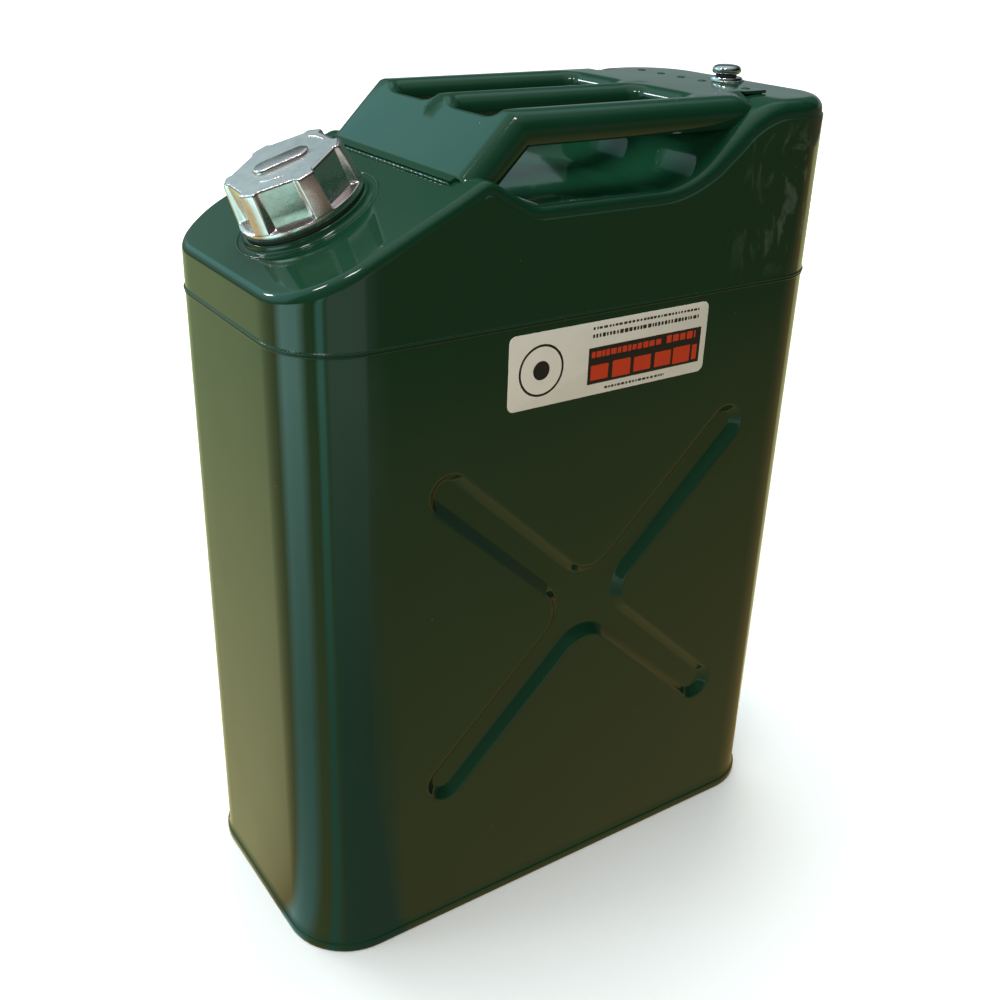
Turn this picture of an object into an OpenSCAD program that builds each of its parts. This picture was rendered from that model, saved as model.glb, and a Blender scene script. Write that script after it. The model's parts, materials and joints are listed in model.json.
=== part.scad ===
// Upright 20 litre steel fuel can: two pressed shells joined at a girth weld, a
// three-bar pressed handle, a tilted screw cap on the front shoulder and an air
// vent screw on the rear deck.
//
// Millimetres. Origin: centre of the base, on the surface the can stands on.
// +X runs along the long side towards the vent, +Y across the can, +Z up.

/* [Body] */
// Length of the can along X, without the seams
body_l = 345; // [335:1:355]
// Width of the can along Y, without the seams
body_w = 165; // [160:1:172]
// Radius of the four upright corners
corner_r = 37.5; // [34:0.5:41]
// Thickness of the pressed steel sheet
wall = 0.8; // [0.6:0.1:1.2]
// Height of the girth weld between the two shells
girth_z = 369.5; // [364:0.5:374]

/* [Shoulder and decks] */
// Height of the sloping shoulder at the front face
shoulder_z = 393.4; // [390:0.2:396]
// Slope of the shoulder
shoulder_angle = 25.5; // [24:0.5:27]
// Height of the floor of the hand recess
recess_z = 427.5; // [425:0.5:430]
// Height of the rear deck
deck_z = 468.2; // [466:0.1:470]

/* [Handle] */
// Thickness of the handle pressing
handle_t = 1.6; // [1.2:0.1:2]
// Depth of the folded-down flanges
flange_h = 13; // [10:0.5:14]
// Half of the handle's overall width
handle_half_w = 72; // [70:0.5:74]
// Half of the middle bar's width
mid_bar_half_w = 10; // [9:0.5:12]
// Width of each slot
slot_w = 40; // [36:0.5:41]
// Front end of the slots
slot_x0 = -50; // [-51:0.5:-48]
// Rear end of the slots
slot_x1 = 75; // [70:0.5:78]

/* [Filler and cap] */
// Place of the filler's axis on the shoulder
filler_x = -124.7; // [-126:0.1:-123]
// Radius of the filler neck's bore at the thread crests
bore_r = 23; // [22.5:0.1:23.5]
// Radius of the cap at its flange
cap_flange_r = 33.2; // [32.8:0.1:33.6]
// Radius of the cap at its top
cap_top_r = 31; // [30:0.1:31.5]
// Height of the cap above its packing
cap_h = 24.2; // [23:0.1:26]
// Number of grip lobes
cap_lobes = 6; // [5:1:8]

/* [Vent] */
// Place of the vent screw on the rear deck
vent_x = 153; // [150:0.5:156]
// Radius of the vent screw's knob
vent_knob_r = 8.5; // [8:0.1:9]

/* [Label] */
// Width of the label
label_w = 134; // [120:1:140]
// Height of the label
label_h = 41; // [36:1:44]

/* [Hidden] */

$fn = 96;
ARC_STEPS = 10;
GREEN = [0.07, 0.20, 0.15];
WELD_GREEN = [0.10, 0.24, 0.18];
ZINC = [0.72, 0.73, 0.72];
ALUMINIUM = [0.78, 0.78, 0.77];
RUBBER = [0.05, 0.05, 0.05];
PAPER = [0.9, 0.9, 0.87];

// base seam and pan
seam_h = 5.5;
seam_out = 1.5;
seam_in = 2.3;

// pressed cross on the broad sides: centre, half lengths and arm width
cross_x = 7;
cross_z = 193;
cross_dx = 96;
cross_dz = 92;
cross_arm_w = 22;
cross_depth = 5;

// welds
girth_out = 1.3;
girth_h = 4.5;
bead_r = 1.4;
bead_out = 0.8;

// hand recess: radii and slopes of the pressing, front to rear
ridge_x = -69;
ridge_r = 9;
front_fall = 30;
front_r = 22;
rear_x0 = 38;
rear_r0 = 60;
rear_rise = 41;
rear_r1 = 50;

// handle outline
handle_top = deck_z + handle_t + 0.4;
foot_x = -79.5;
bend_x = -75.5;
brow_x = -46.5;
lap_x = 132;
lap_half_w = 54;
bar_end_x = 112;
fold_r = 10;
slot_r = 6;
slot_wall_h = 11;

// filler, in the shoulder's tilted frame
collar_base_r = 38.2;
collar_top_r = 34;
collar_h = 3.2;
neck_r = 28.4;
neck_fit = 0.05;
neck_depth = 10;
thread_pitch = 3;
neck_thread_d = 1.2;
packing_h = 2;
packing_r = 32.4;
packing_bore_r = bore_r + 0.4;
plug_r = bore_r - 0.4;
plug_thread_d = 1.3;
plug_depth = 6;
cap_flange_h = 3.6;
cap_cavity_r = 18.5;
cap_skin = 3;
pocket_r = 27;
pocket_half_angle = 20.5;
grip_bar_l = 30;
grip_bar_w = 12.5;
grip_bar_h = 2.4;
grip_bar_angle = -23;
lobe_angle = -94;

// vent
vent_boss_r = 10;
vent_boss_h = 1.8;
vent_shank_r = 7;
vent_shank_fit = 0.05;
vent_shank_l = 8;
vent_hole_r = 3;
vent_stem_r = 2.7;
vent_stem_l = 14;
vent_packing_r = 6.2;
vent_packing_h = 2.2;
vent_knob_h = 5.1;

// label
label_x = 11;
label_z = 344;
label_t = 0.3;
label_r = 4;

function shoulder_at(x) = shoulder_z + (x + body_l / 2) * tan(shoulder_angle);

// Points of an arc about (cx, cz), from angle a0 to a1.
function arc(cx, cz, r, a0, a1, n = ARC_STEPS) =
    [for (i = [0:n]) let (a = a0 + (a1 - a0) * i / n) [cx + r * cos(a), cz + r * sin(a)]];

// Side outline of the upper shell's top surface, front to rear.
ridge_touch_x = ridge_x - ridge_r * sin(shoulder_angle);
ridge_cz = shoulder_at(ridge_touch_x) - ridge_r * cos(shoulder_angle);
ridge_end = [ridge_x + ridge_r * sin(front_fall), ridge_cz + ridge_r * cos(front_fall)];
front_top = recess_z + front_r * (1 - cos(front_fall));
front_cx = ridge_end[0] + (ridge_end[1] - front_top) / tan(front_fall) + front_r * sin(front_fall);
rear_low = [rear_x0 + rear_r0 * sin(rear_rise), recess_z + rear_r0 * (1 - cos(rear_rise))];
rear_high_z = deck_z - rear_r1 * (1 - cos(rear_rise));
rear_cx = rear_low[0] + (rear_high_z - rear_low[1]) / tan(rear_rise) + rear_r1 * sin(rear_rise);

over = 5;
top_line = concat(
    [[-body_l / 2 - over, shoulder_at(-body_l / 2 - over)]],
    arc(ridge_x, ridge_cz, ridge_r, 90 + shoulder_angle, 90 - front_fall),
    arc(front_cx, recess_z + front_r, front_r, -90 - front_fall, -90),
    arc(rear_x0, recess_z + rear_r0, rear_r0, -90, -90 + rear_rise),
    arc(rear_cx, deck_z - rear_r1, rear_r1, 90 + rear_rise, 90),
    [[body_l / 2 + over, deck_z]]
);

// Upright prism with the can's rounded plan, grown outwards by out.
module plan_prism(out, z0, z1) {
    r = corner_r + out;
    l = body_l + 2 * out;
    w = body_w + 2 * out;
    translate([0, 0, z0]) linear_extrude(z1 - z0) union() {
        square([l - 2 * r, w], center = true);
        square([l, w - 2 * r], center = true);
        for (sx = [-1, 1], sy = [-1, 1])
            translate([sx * (l / 2 - r), sy * (w / 2 - r)]) circle(r);
    }
}

// A closed X-Z outline drawn out along Y, centred.
module side_prism(points, w) {
    rotate([90, 0, 0]) linear_extrude(w, center = true) polygon(points);
}

// Everything below the top surface, lowered by drop.
module under_top(drop) {
    x = body_l / 2 + over;
    side_prism(concat(
        [for (p = top_line) [p[0], p[1] - drop]],
        [[x, girth_z - 20], [-x, girth_z - 20]]
    ), body_w + 20);
}

// The tilted frame of the filler: origin on the shoulder, +Z out of the mouth.
module on_shoulder() {
    translate([filler_x, 0, shoulder_at(filler_x)]) rotate([0, -shoulder_angle, 0]) children();
}

// Ring section turned about Z.
module ring(r_in, r_out, z0, z1) {
    translate([0, 0, z0]) difference() {
        cylinder(r = r_out, h = z1 - z0);
        translate([0, 0, -1]) cylinder(r = r_in, h = z1 - z0 + 2);
    }
}

// Saw-tooth radii of a thread, as [r, z] points from z0 towards z1, starting at r0.
function thread_line(r0, r1, z0, z1) =
    let (rise = sign(z1 - z0) * thread_pitch / 2, steps = 2 * floor(abs(z1 - z0) / thread_pitch))
    [for (i = [0:steps]) [i % 2 == 0 ? r0 : r1, z0 + i * rise]];

// The pressed cross, from depth below the side face to outside it.
module cross_groove(side, depth, grow) {
    w = cross_arm_w + 2 * grow;
    len = 2 * norm([cross_dx, cross_dz]);
    for (s = [-1, 1])
        translate([cross_x, side * (body_w / 2 - depth / 2 + 1), cross_z])
            rotate([0, s * atan2(cross_dz, cross_dx), 0]) {
                cube([len, depth + 2, w], center = true);
                for (e = [-1, 1]) translate([e * len / 2, 0, 0])
                    rotate([90, 0, 0]) cylinder(r = w / 2, h = depth + 2, center = true);
            }
}

module lower_body() {
    color(GREEN) difference() {
        plan_prism(0, seam_h, girth_z);
        difference() {
            plan_prism(-wall, seam_h - 1, girth_z + 1);
            for (side = [-1, 1]) cross_groove(side, cross_depth + wall, wall);
        }
        for (side = [-1, 1]) cross_groove(side, cross_depth, 0);
    }
}

module bottom_pan() {
    color(GREEN) difference() {
        plan_prism(seam_out, 0, seam_h);
        plan_prism(-seam_in, -1, seam_h - wall);
    }
}

module body_seam_weld() {
    color(WELD_GREEN) difference() {
        translate([body_l / 2 + bead_out - bead_r, 0, seam_h])
            cylinder(r = bead_r, h = girth_z - girth_h / 2 - seam_h);
        plan_prism(0, 0, girth_z);
    }
}

module girth_weld() {
    color(WELD_GREEN) difference() {
        plan_prism(girth_out, girth_z - girth_h / 2, girth_z + girth_h / 2);
        plan_prism(0, girth_z - girth_h, girth_z + girth_h);
    }
}

module upper_shell() {
    color(GREEN) difference() {
        intersection() {
            plan_prism(0, girth_z, deck_z + 5);
            under_top(0);
        }
        intersection() {
            plan_prism(-wall, girth_z - 1, deck_z + 5);
            under_top(1.3 * wall);
        }
        on_shoulder() cylinder(r = neck_r + neck_fit, h = 30, center = true);
        translate([vent_x, 0, deck_z]) cylinder(r = vent_shank_r + vent_shank_fit, h = 20, center = true);
    }
}

// Upright block with its two upper long edges rounded, running along X.
module round_top(half_w, top, r) {
    rotate([90, 0, 90]) translate([0, 0, foot_x - 10]) linear_extrude(lap_x - foot_x + 20) union() {
        translate([-half_w, 0]) square([2 * half_w, top - r]);
        translate([r - half_w, 0]) square([2 * (half_w - r), top]);
        for (s = [-1, 1]) translate([s * (half_w - r), top - r]) circle(r);
    }
}

// One slot's plan, grown by out, from z0 upwards.
module slot_prism(side, out, z0) {
    l = slot_x1 - slot_x0 + 2 * out;
    w = slot_w + 2 * out;
    r = slot_r + out;
    translate([(slot_x0 + slot_x1) / 2, side * (mid_bar_half_w + slot_w / 2), z0])
        linear_extrude(handle_top + 5 - z0) union() {
            square([l - 2 * r, w], center = true);
            square([l, w - 2 * r], center = true);
            for (sx = [-1, 1], sy = [-1, 1])
                translate([sx * (l / 2 - r), sy * (w / 2 - r)]) circle(r);
        }
}

module handle() {
    foot_top = handle_t / cos(shoulder_angle);
    foot = [foot_x, shoulder_at(foot_x) + foot_top];
    bend = [bend_x, shoulder_at(bend_x) + foot_top];
    brow = [brow_x, handle_top];
    plate_angle = atan2(brow[1] - bend[1], brow[0] - bend[0]);
    in_x = flange_h * sin(plate_angle);
    in_z = flange_h * cos(plate_angle);
    skin_x = handle_t * tan(plate_angle / 2);
    outer = [
        [foot_x, recess_z], foot, bend, brow, [lap_x, handle_top], [lap_x, handle_top - flange_h],
        [brow_x + flange_h * tan(plate_angle / 2), handle_top - flange_h],
        [bend_x + in_x, bend[1] - in_z], [bend_x + in_x, recess_z]
    ];
    inner = [
        [bend_x + handle_t, recess_z - 5], [bend_x + handle_t, bend[1]],
        [brow_x + skin_x, handle_top - handle_t], [lap_x + 5, handle_top - handle_t],
        [lap_x + 5, recess_z - 5]
    ];
    color(GREEN) difference() {
        intersection() {
            side_prism(outer, 2 * handle_half_w);
            round_top(handle_half_w, handle_top, fold_r);
        }
        difference() {
            intersection() {
                side_prism(inner, 2 * (handle_half_w - handle_t));
                round_top(handle_half_w - handle_t, handle_top - handle_t, fold_r - handle_t);
            }
            for (side = [-1, 1]) slot_prism(side, handle_t, handle_top - slot_wall_h);
        }
        for (side = [-1, 1]) {
            slot_prism(side, 0, recess_z);
            translate([lap_x, side * (lap_half_w + 20), handle_top])
                cube([2 * (lap_x - bar_end_x), 40, 60], center = true);
        }
        under_top(0);
    }
}

module handle_foot_weld() {
    color(WELD_GREEN) difference() {
        translate([foot_x, 0, shoulder_at(foot_x)])
            rotate([90, 0, 0]) cylinder(r = bead_r, h = 2 * lap_half_w + 16, center = true);
        under_top(0);
        translate([foot_x + 5, 0, shoulder_at(foot_x)]) cube([10, body_w, 20], center = true);
    }
}

module handle_rear_weld() {
    color(WELD_GREEN) difference() {
        translate([lap_x, 0, deck_z])
            rotate([90, 0, 0]) cylinder(r = bead_r, h = 2 * lap_half_w - 6, center = true);
        under_top(0);
        translate([lap_x - 5, 0, deck_z]) cube([10, body_w, 20], center = true);
    }
}

module handle_spot_welds() {
    nugget_r = 2.6;
    nugget_h = 0.35;
    color(WELD_GREEN) for (y = [-45:18:45])
        translate([lap_x - 7, y, handle_top]) cylinder(r1 = nugget_r, r2 = nugget_r - 0.6, h = nugget_h);
}

module neck_collar() {
    r_in = neck_r + neck_fit;
    cove_r = 3;
    cove = arc(collar_top_r + cove_r, cove_r, cove_r, 180, 262, 6);
    color(GREEN) on_shoulder() rotate_extrude() polygon(concat(
        [[r_in, 0], [r_in, collar_h], [collar_top_r, collar_h]],
        cove,
        [[collar_base_r, 0]]
    ));
}

module neck_weld() {
    color(WELD_GREEN) on_shoulder() rotate_extrude()
        polygon([[collar_base_r, 0], [collar_base_r + 1.4, 0], [collar_base_r, 0.8]]);
}

module filler_neck() {
    root_r = bore_r + neck_thread_d;
    color(ZINC) on_shoulder() rotate_extrude() polygon(concat(
        [[neck_r, -neck_depth], [neck_r, collar_h], [bore_r + 1, collar_h], [bore_r, collar_h - 1]],
        thread_line(bore_r, root_r, collar_h - 2, 1 - neck_depth),
        [[bore_r, -neck_depth]]
    ));
}

module cap_packing() {
    color(RUBBER) on_shoulder() ring(packing_bore_r, packing_r, collar_h, collar_h + packing_h);
}

module cap() {
    base_z = collar_h + packing_h;
    top_z = base_z + cap_h;
    ledge_z = base_z + cap_flange_h;
    edge = 1;
    shell_line = concat(
        [[cap_cavity_r, -plug_depth], [plug_r - plug_thread_d - 1, -plug_depth]],
        thread_line(plug_r - plug_thread_d, plug_r, 1 - plug_depth, base_z - 1),
        [[plug_r - plug_thread_d, base_z], [cap_flange_r - 0.5, base_z], [cap_flange_r, base_z + 0.5]],
        [[cap_flange_r, ledge_z - 1], [cap_top_r, top_z - edge], [cap_top_r - edge, top_z]],
        [[0, top_z], [0, top_z - cap_skin], [cap_cavity_r, top_z - cap_skin]]
    );
    color(ALUMINIUM) on_shoulder() rotate([0, 0, lobe_angle]) {
        difference() {
            rotate_extrude() polygon(shell_line);
            for (i = [0:cap_lobes - 1])
                rotate([0, 0, (i + 0.5) * 360 / cap_lobes])
                    translate([pocket_r, -pocket_r * tan(pocket_half_angle), ledge_z])
                        cube([20, 2 * pocket_r * tan(pocket_half_angle), cap_h]);
        }
        translate([0, 0, top_z]) rotate([0, 0, grip_bar_angle - lobe_angle])
            linear_extrude(grip_bar_h) union() {
                square([grip_bar_l - grip_bar_w, grip_bar_w], center = true);
                for (s = [-1, 1]) translate([s * (grip_bar_l - grip_bar_w) / 2, 0]) circle(d = grip_bar_w);
            }
    }
}

module vent_boss() {
    color(ZINC) translate([vent_x, 0, deck_z]) difference() {
        union() {
            cylinder(r1 = vent_boss_r, r2 = vent_boss_r - 1, h = vent_boss_h);
            translate([0, 0, -vent_shank_l]) cylinder(r = vent_shank_r, h = vent_shank_l + 1);
        }
        translate([0, 0, -vent_shank_l - 1]) cylinder(r = vent_hole_r, h = vent_shank_l + vent_boss_h + 2);
    }
}

module vent_weld() {
    color(ZINC) translate([vent_x, 0, deck_z]) rotate_extrude()
        polygon([[vent_boss_r, 0], [vent_boss_r + 1.2, 0], [vent_boss_r, 0.7]]);
}

module vent_packing() {
    z0 = deck_z + vent_boss_h;
    color(RUBBER) translate([vent_x, 0, 0])
        ring(vent_stem_r + 0.4, vent_packing_r, z0, z0 + vent_packing_h);
}

module vent_screw() {
    z0 = vent_boss_h + vent_packing_h;
    rim = 2;
    crown_r = vent_knob_r - rim;
    color(ZINC) translate([vent_x, 0, deck_z]) rotate_extrude() polygon(concat(
        [[0, z0 - vent_stem_l], [vent_stem_r - 0.5, z0 - vent_stem_l], [vent_stem_r, z0 - vent_stem_l + 0.5]],
        [[vent_stem_r, z0], [vent_knob_r - 0.8, z0]],
        arc(crown_r, z0 + vent_knob_h - rim - 1, rim, 0, 70, 6),
        [[0, z0 + vent_knob_h]]
    ));
}

module side_label() {
    color(PAPER) translate([label_x, -body_w / 2, label_z])
        rotate([90, 0, 0]) linear_extrude(label_t) union() {
            square([label_w - 2 * label_r, label_h], center = true);
            square([label_w, label_h - 2 * label_r], center = true);
            for (sx = [-1, 1], sz = [-1, 1])
                translate([sx * (label_w / 2 - label_r), sz * (label_h / 2 - label_r)]) circle(label_r);
        }
}

lower_body();
bottom_pan();
body_seam_weld();
girth_weld();
upper_shell();
handle();
handle_foot_weld();
handle_rear_weld();
handle_spot_welds();
neck_collar();
neck_weld();
filler_neck();
cap_packing();
cap();
vent_boss();
vent_weld();
vent_packing();
vent_screw();
side_label();
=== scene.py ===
"""Looks of an upright 20 litre steel fuel can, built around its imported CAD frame.

Shapes are worked out in millimetres and become metres when a mesh is made.
+X runs along the long side towards the vent, +Y across the can, +Z up.
"""

import json
import math
import random

import bmesh
import bpy
from mathutils import Matrix, Vector

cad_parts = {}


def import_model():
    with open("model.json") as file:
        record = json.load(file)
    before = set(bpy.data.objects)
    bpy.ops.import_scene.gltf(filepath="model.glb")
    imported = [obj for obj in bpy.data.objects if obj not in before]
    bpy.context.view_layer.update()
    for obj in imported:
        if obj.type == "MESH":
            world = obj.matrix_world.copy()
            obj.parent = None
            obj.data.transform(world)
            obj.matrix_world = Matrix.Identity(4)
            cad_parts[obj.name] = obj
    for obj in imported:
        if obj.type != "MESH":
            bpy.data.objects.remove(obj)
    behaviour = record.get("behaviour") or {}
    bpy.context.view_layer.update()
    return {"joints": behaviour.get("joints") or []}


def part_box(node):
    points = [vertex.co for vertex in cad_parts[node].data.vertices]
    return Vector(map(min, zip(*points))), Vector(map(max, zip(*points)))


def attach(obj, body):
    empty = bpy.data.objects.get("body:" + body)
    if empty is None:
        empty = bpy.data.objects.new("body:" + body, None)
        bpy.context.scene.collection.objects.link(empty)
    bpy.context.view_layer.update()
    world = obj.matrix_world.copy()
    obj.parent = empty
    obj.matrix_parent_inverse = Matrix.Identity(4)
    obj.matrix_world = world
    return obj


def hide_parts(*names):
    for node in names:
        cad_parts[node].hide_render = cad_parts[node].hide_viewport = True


MM = 0.001
TAU = 2 * math.pi

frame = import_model()
joints = {joint["name"]: joint for joint in frame["joints"]}


def box_mm(node):
    """Lowest and highest corner of a CAD node, in millimetres."""
    low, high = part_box(node)
    return low / MM, high / MM


# -------- sizes

body_low, body_high = box_mm("lower_body")
BODY_L = body_high.x - body_low.x
BODY_W = body_high.y - body_low.y
SEAM_TOP = body_low.z
GIRTH_Z = body_high.z
DECK_Z = box_mm("upper_shell")[1].z
CORNER_R = 37.5
SHEET = 0.8

FILLER = Vector(joints["cap_turn"]["pos_m"]) / MM
CAP_AXIS = Vector(joints["cap_turn"]["axis"])
SHOULDER_ANGLE = math.atan2(-CAP_AXIS.x, CAP_AXIS.z)
FILLER_FRAME = Matrix.Translation(FILLER) @ Matrix.Rotation(-SHOULDER_ANGLE, 4, "Y")
VENT_X = joints["vent_turn"]["pos_m"][0] / MM
VENT_FRAME = Matrix.Translation((VENT_X, 0, DECK_Z))
VENT_NECK_R = 7.0

# Pressed cross on the broad sides.
CROSS = Vector((7, 193))
CROSS_REACH = Vector((96, 92))
CROSS_FLOOR_W = 12
CROSS_DEPTH = 5
CROTCH_R = 24

# Hand recess, as in the CAD model.
RECESS_Z = 427.5
RIDGE_X = -69
RIDGE_R = 9
FRONT_FALL = math.radians(30)
FRONT_R = 22
REAR_X0 = 38
REAR_R0 = 60
REAR_RISE = math.radians(41)
REAR_R1 = 50

# Pressed step below the recess's rim.
CREASE_STEP = 1.0
CREASE_START_X = -84
CREASE_FULL_X = -66

# Handle.
HANDLE_T = 1.6
HANDLE_TOP = box_mm("handle")[1].z
HANDLE_HALF_W = box_mm("handle")[1].y
LAP_X = box_mm("handle")[1].x
FOOT_X = box_mm("handle")[0].x
BEND_X = -75.5
BROW_X = -46.5
BAR_END_X = 112
LAP_HALF_W = 54
FOLD_R = 10
SLOT_X = (-50, 75)
SLOT_Y = (10, 50)
SLOT_CORNER_R = 6
SLOT_FRONT_CORNER_R = (5, 11)
SLOT_SIDE_R = 9
SLOT_FRONT_R = 2.4
SLOT_REAR_R = 7
SLOT_WALL_H = 11
FOLD_END = math.radians(128)

# Filler and cap, in the filler's frame.
BORE_R = 23.0
THREAD_ROOT_R = 24.2
NECK_R = 28.4
COLLAR_TOP_R = 34.0
COLLAR_BASE_R = 38.2
COLLAR_H = 3.2
COVE_R = 3.0
CAP_BASE = 5.2
CAP_FLANGE_TOP = 8.8
CAP_TOP = 29.4
CAP_FLANGE_R = 33.2
CAP_TOP_R = 31
CAP_LOBES = 6
LOBE_ANGLE = math.radians(-94)
POCKET_R = 27
PLUG_R = 21.3
THREAD_PITCH = 3
GRIP_BAR = Vector((30.0, 12.5))
GRIP_BAR_ANGLE = math.radians(-23)


# -------- mesh tools


def smooth(edge0, edge1, value):
    """Smooth step from 0 at edge0 to 1 at edge1."""
    t = min(1.0, max(0.0, (value - edge0) / (edge1 - edge0)))
    return t * t * (3 - 2 * t)


def steps(first, last, count):
    """count + 1 evenly spaced values from first to last."""
    return [first + (last - first) * i / count for i in range(count + 1)]


def polar(radius, turn, *height):
    """A point at a radius and an angle about Z, in two or three coordinates."""
    return Vector((radius * math.cos(turn), radius * math.sin(turn), *height))


def on_level(points, axis, level):
    """The other coordinate of the points that lie at one level of an axis, in order."""
    return sorted({round(p[1 - axis], 6) for p in points if abs(p[axis] - level) < 1e-4})


def grid_faces(rows, columns, start=0, wrap_rows=False, wrap_columns=False):
    """Quads between rows x columns vertices that are stored row by row."""
    faces = []
    for i in range(rows if wrap_rows else rows - 1):
        for j in range(columns if wrap_columns else columns - 1):
            a, b = i * columns, (i + 1) % rows * columns
            k = (j + 1) % columns
            faces.append((start + a + j, start + a + k, start + b + k, start + b + j))
    return faces


class Shape:
    """Vertices, in millimetres, and faces gathered from several patches."""

    def __init__(self):
        self.verts = []
        self.faces = []
        self.paint = []

    def patch(self, rows, paint=0, wrap_rows=False, wrap_columns=False):
        """Adds a grid of points, given row by row."""
        start = len(self.verts)
        for row in rows:
            self.verts.extend(Vector(point) for point in row)
        faces = grid_faces(len(rows), len(rows[0]), start, wrap_rows, wrap_columns)
        self.faces.extend(faces)
        self.paint.extend([paint] * len(faces))

    def polygon(self, points, paint=0):
        """Adds one flat face."""
        start = len(self.verts)
        self.verts.extend(Vector(point) for point in points)
        self.faces.append(tuple(range(start, start + len(points))))
        self.paint.append(paint)

    def slab(self, outline, low, high, paint=0, edge=0.0):
        """Adds a closed slab over an (x, y) outline, with its upper edge rounded by edge."""
        rings = [(0.0, low), (0.0, high - edge)]
        if edge:
            for turn in steps(0, math.pi / 2, 4)[1:]:
                rings.append((edge * (1 - math.cos(turn)), high - edge + edge * math.sin(turn)))
        rows = [[(*p, z) for p in inset_outline(outline, inset)] for inset, z in rings]
        self.patch(rows, paint, wrap_columns=True)
        self.polygon(rows[-1], paint)
        self.polygon(rows[0][::-1], paint)

    def add(self, part):
        """Adds another shape's faces."""
        start = len(self.verts)
        self.verts.extend(part.verts)
        self.faces.extend(tuple(start + i for i in face) for face in part.faces)
        self.paint.extend(part.paint)

    def transform(self, matrix):
        """Moves every vertex by a matrix."""
        self.verts = [matrix @ v for v in self.verts]
        return self


def inset_outline(outline, inset):
    """A closed outline of (x, y) points, moved inwards by inset."""
    moved = []
    for i, point in enumerate(outline):
        before, after = Vector(outline[i - 1]), Vector(outline[(i + 1) % len(outline)])
        along = (after - before).normalized()
        moved.append((point[0] - along.y * inset, point[1] + along.x * inset))
    return moved


def make_piece(name, shape, body, node, slot, *materials, sharp=35, thickness=0.0):
    """Makes a Blender mesh of a shape, and says which body it rides on and which CAD node it replaces."""
    mesh = bpy.data.meshes.new(name)
    mesh.from_pydata([v * MM for v in shape.verts], [], shape.faces)
    mesh.polygons.foreach_set("material_index", shape.paint)
    work = bmesh.new()
    work.from_mesh(mesh)
    bmesh.ops.remove_doubles(work, verts=work.verts, dist=0.01 * MM)
    bmesh.ops.dissolve_degenerate(work, edges=work.edges, dist=0.001 * MM)
    bmesh.ops.recalc_face_normals(work, faces=work.faces)
    work.to_mesh(mesh)
    work.free()
    mesh.shade_smooth()
    mesh.set_sharp_from_angle(angle=math.radians(sharp))
    for material in materials:
        mesh.materials.append(material)
    piece = bpy.data.objects.new(name, mesh)
    bpy.context.scene.collection.objects.link(piece)
    if thickness:
        mark_rims_sharp(mesh)
        shell = piece.modifiers.new("sheet", "SOLIDIFY")
        shell.thickness = thickness * MM
        shell.offset = -1
        even = piece.modifiers.new("even_shading", "WEIGHTED_NORMAL")
        even.keep_sharp = True
    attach(piece, body)
    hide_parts(node)
    return piece


def mark_rims_sharp(mesh):
    """Marks the open edges of a sheet sharp, so that its cut rim doesn't shade into its faces."""
    uses = {}
    for polygon in mesh.polygons:
        for key in polygon.edge_keys:
            uses[key] = uses.get(key, 0) + 1
    for edge in mesh.edges:
        if uses.get(edge.key, 0) < 2:
            edge.use_edge_sharp = True


def plan_loop(out=0.0, arc_steps=14, straight_step=30.0):
    """(x, y, outward normal, distance) round the can's plan, grown by out, from the front face."""
    half_l, half_w = BODY_L / 2 - CORNER_R, BODY_W / 2 - CORNER_R
    centres = [(-half_l, -half_w), (half_l, -half_w), (half_l, half_w), (-half_l, half_w)]
    radius = CORNER_R + out
    loop = []
    for quarter, centre in enumerate(centres):
        for i in range(arc_steps + 1):
            angle = math.pi + (quarter + i / arc_steps) * math.pi / 2
            normal = polar(1, angle)
            loop.append((Vector(centre) + normal * radius, normal))
        following = Vector(centres[(quarter + 1) % 4]) + normal * radius
        here = loop[-1][0]
        count = max(1, round((following - here).length / straight_step))
        for k in range(1, count):
            loop.append((here.lerp(following, k / count), normal))
    result, travelled = [], 0.0
    for i, (point, normal) in enumerate(loop):
        travelled += (point - loop[i - 1][0]).length if i else 0.0
        result.append((point, normal, travelled))
    return result


def swept_ring(section, ripple=None, **loop):
    """Rows of a section of (out, z) points carried round the can's plan."""
    rows = []
    for point, normal, distance in plan_loop(**loop):
        swell = ripple(distance) if ripple else 1.0
        rows.append([(*(point + normal * out * swell), z) for out, z in section])
    return rows


# -------- materials


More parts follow.
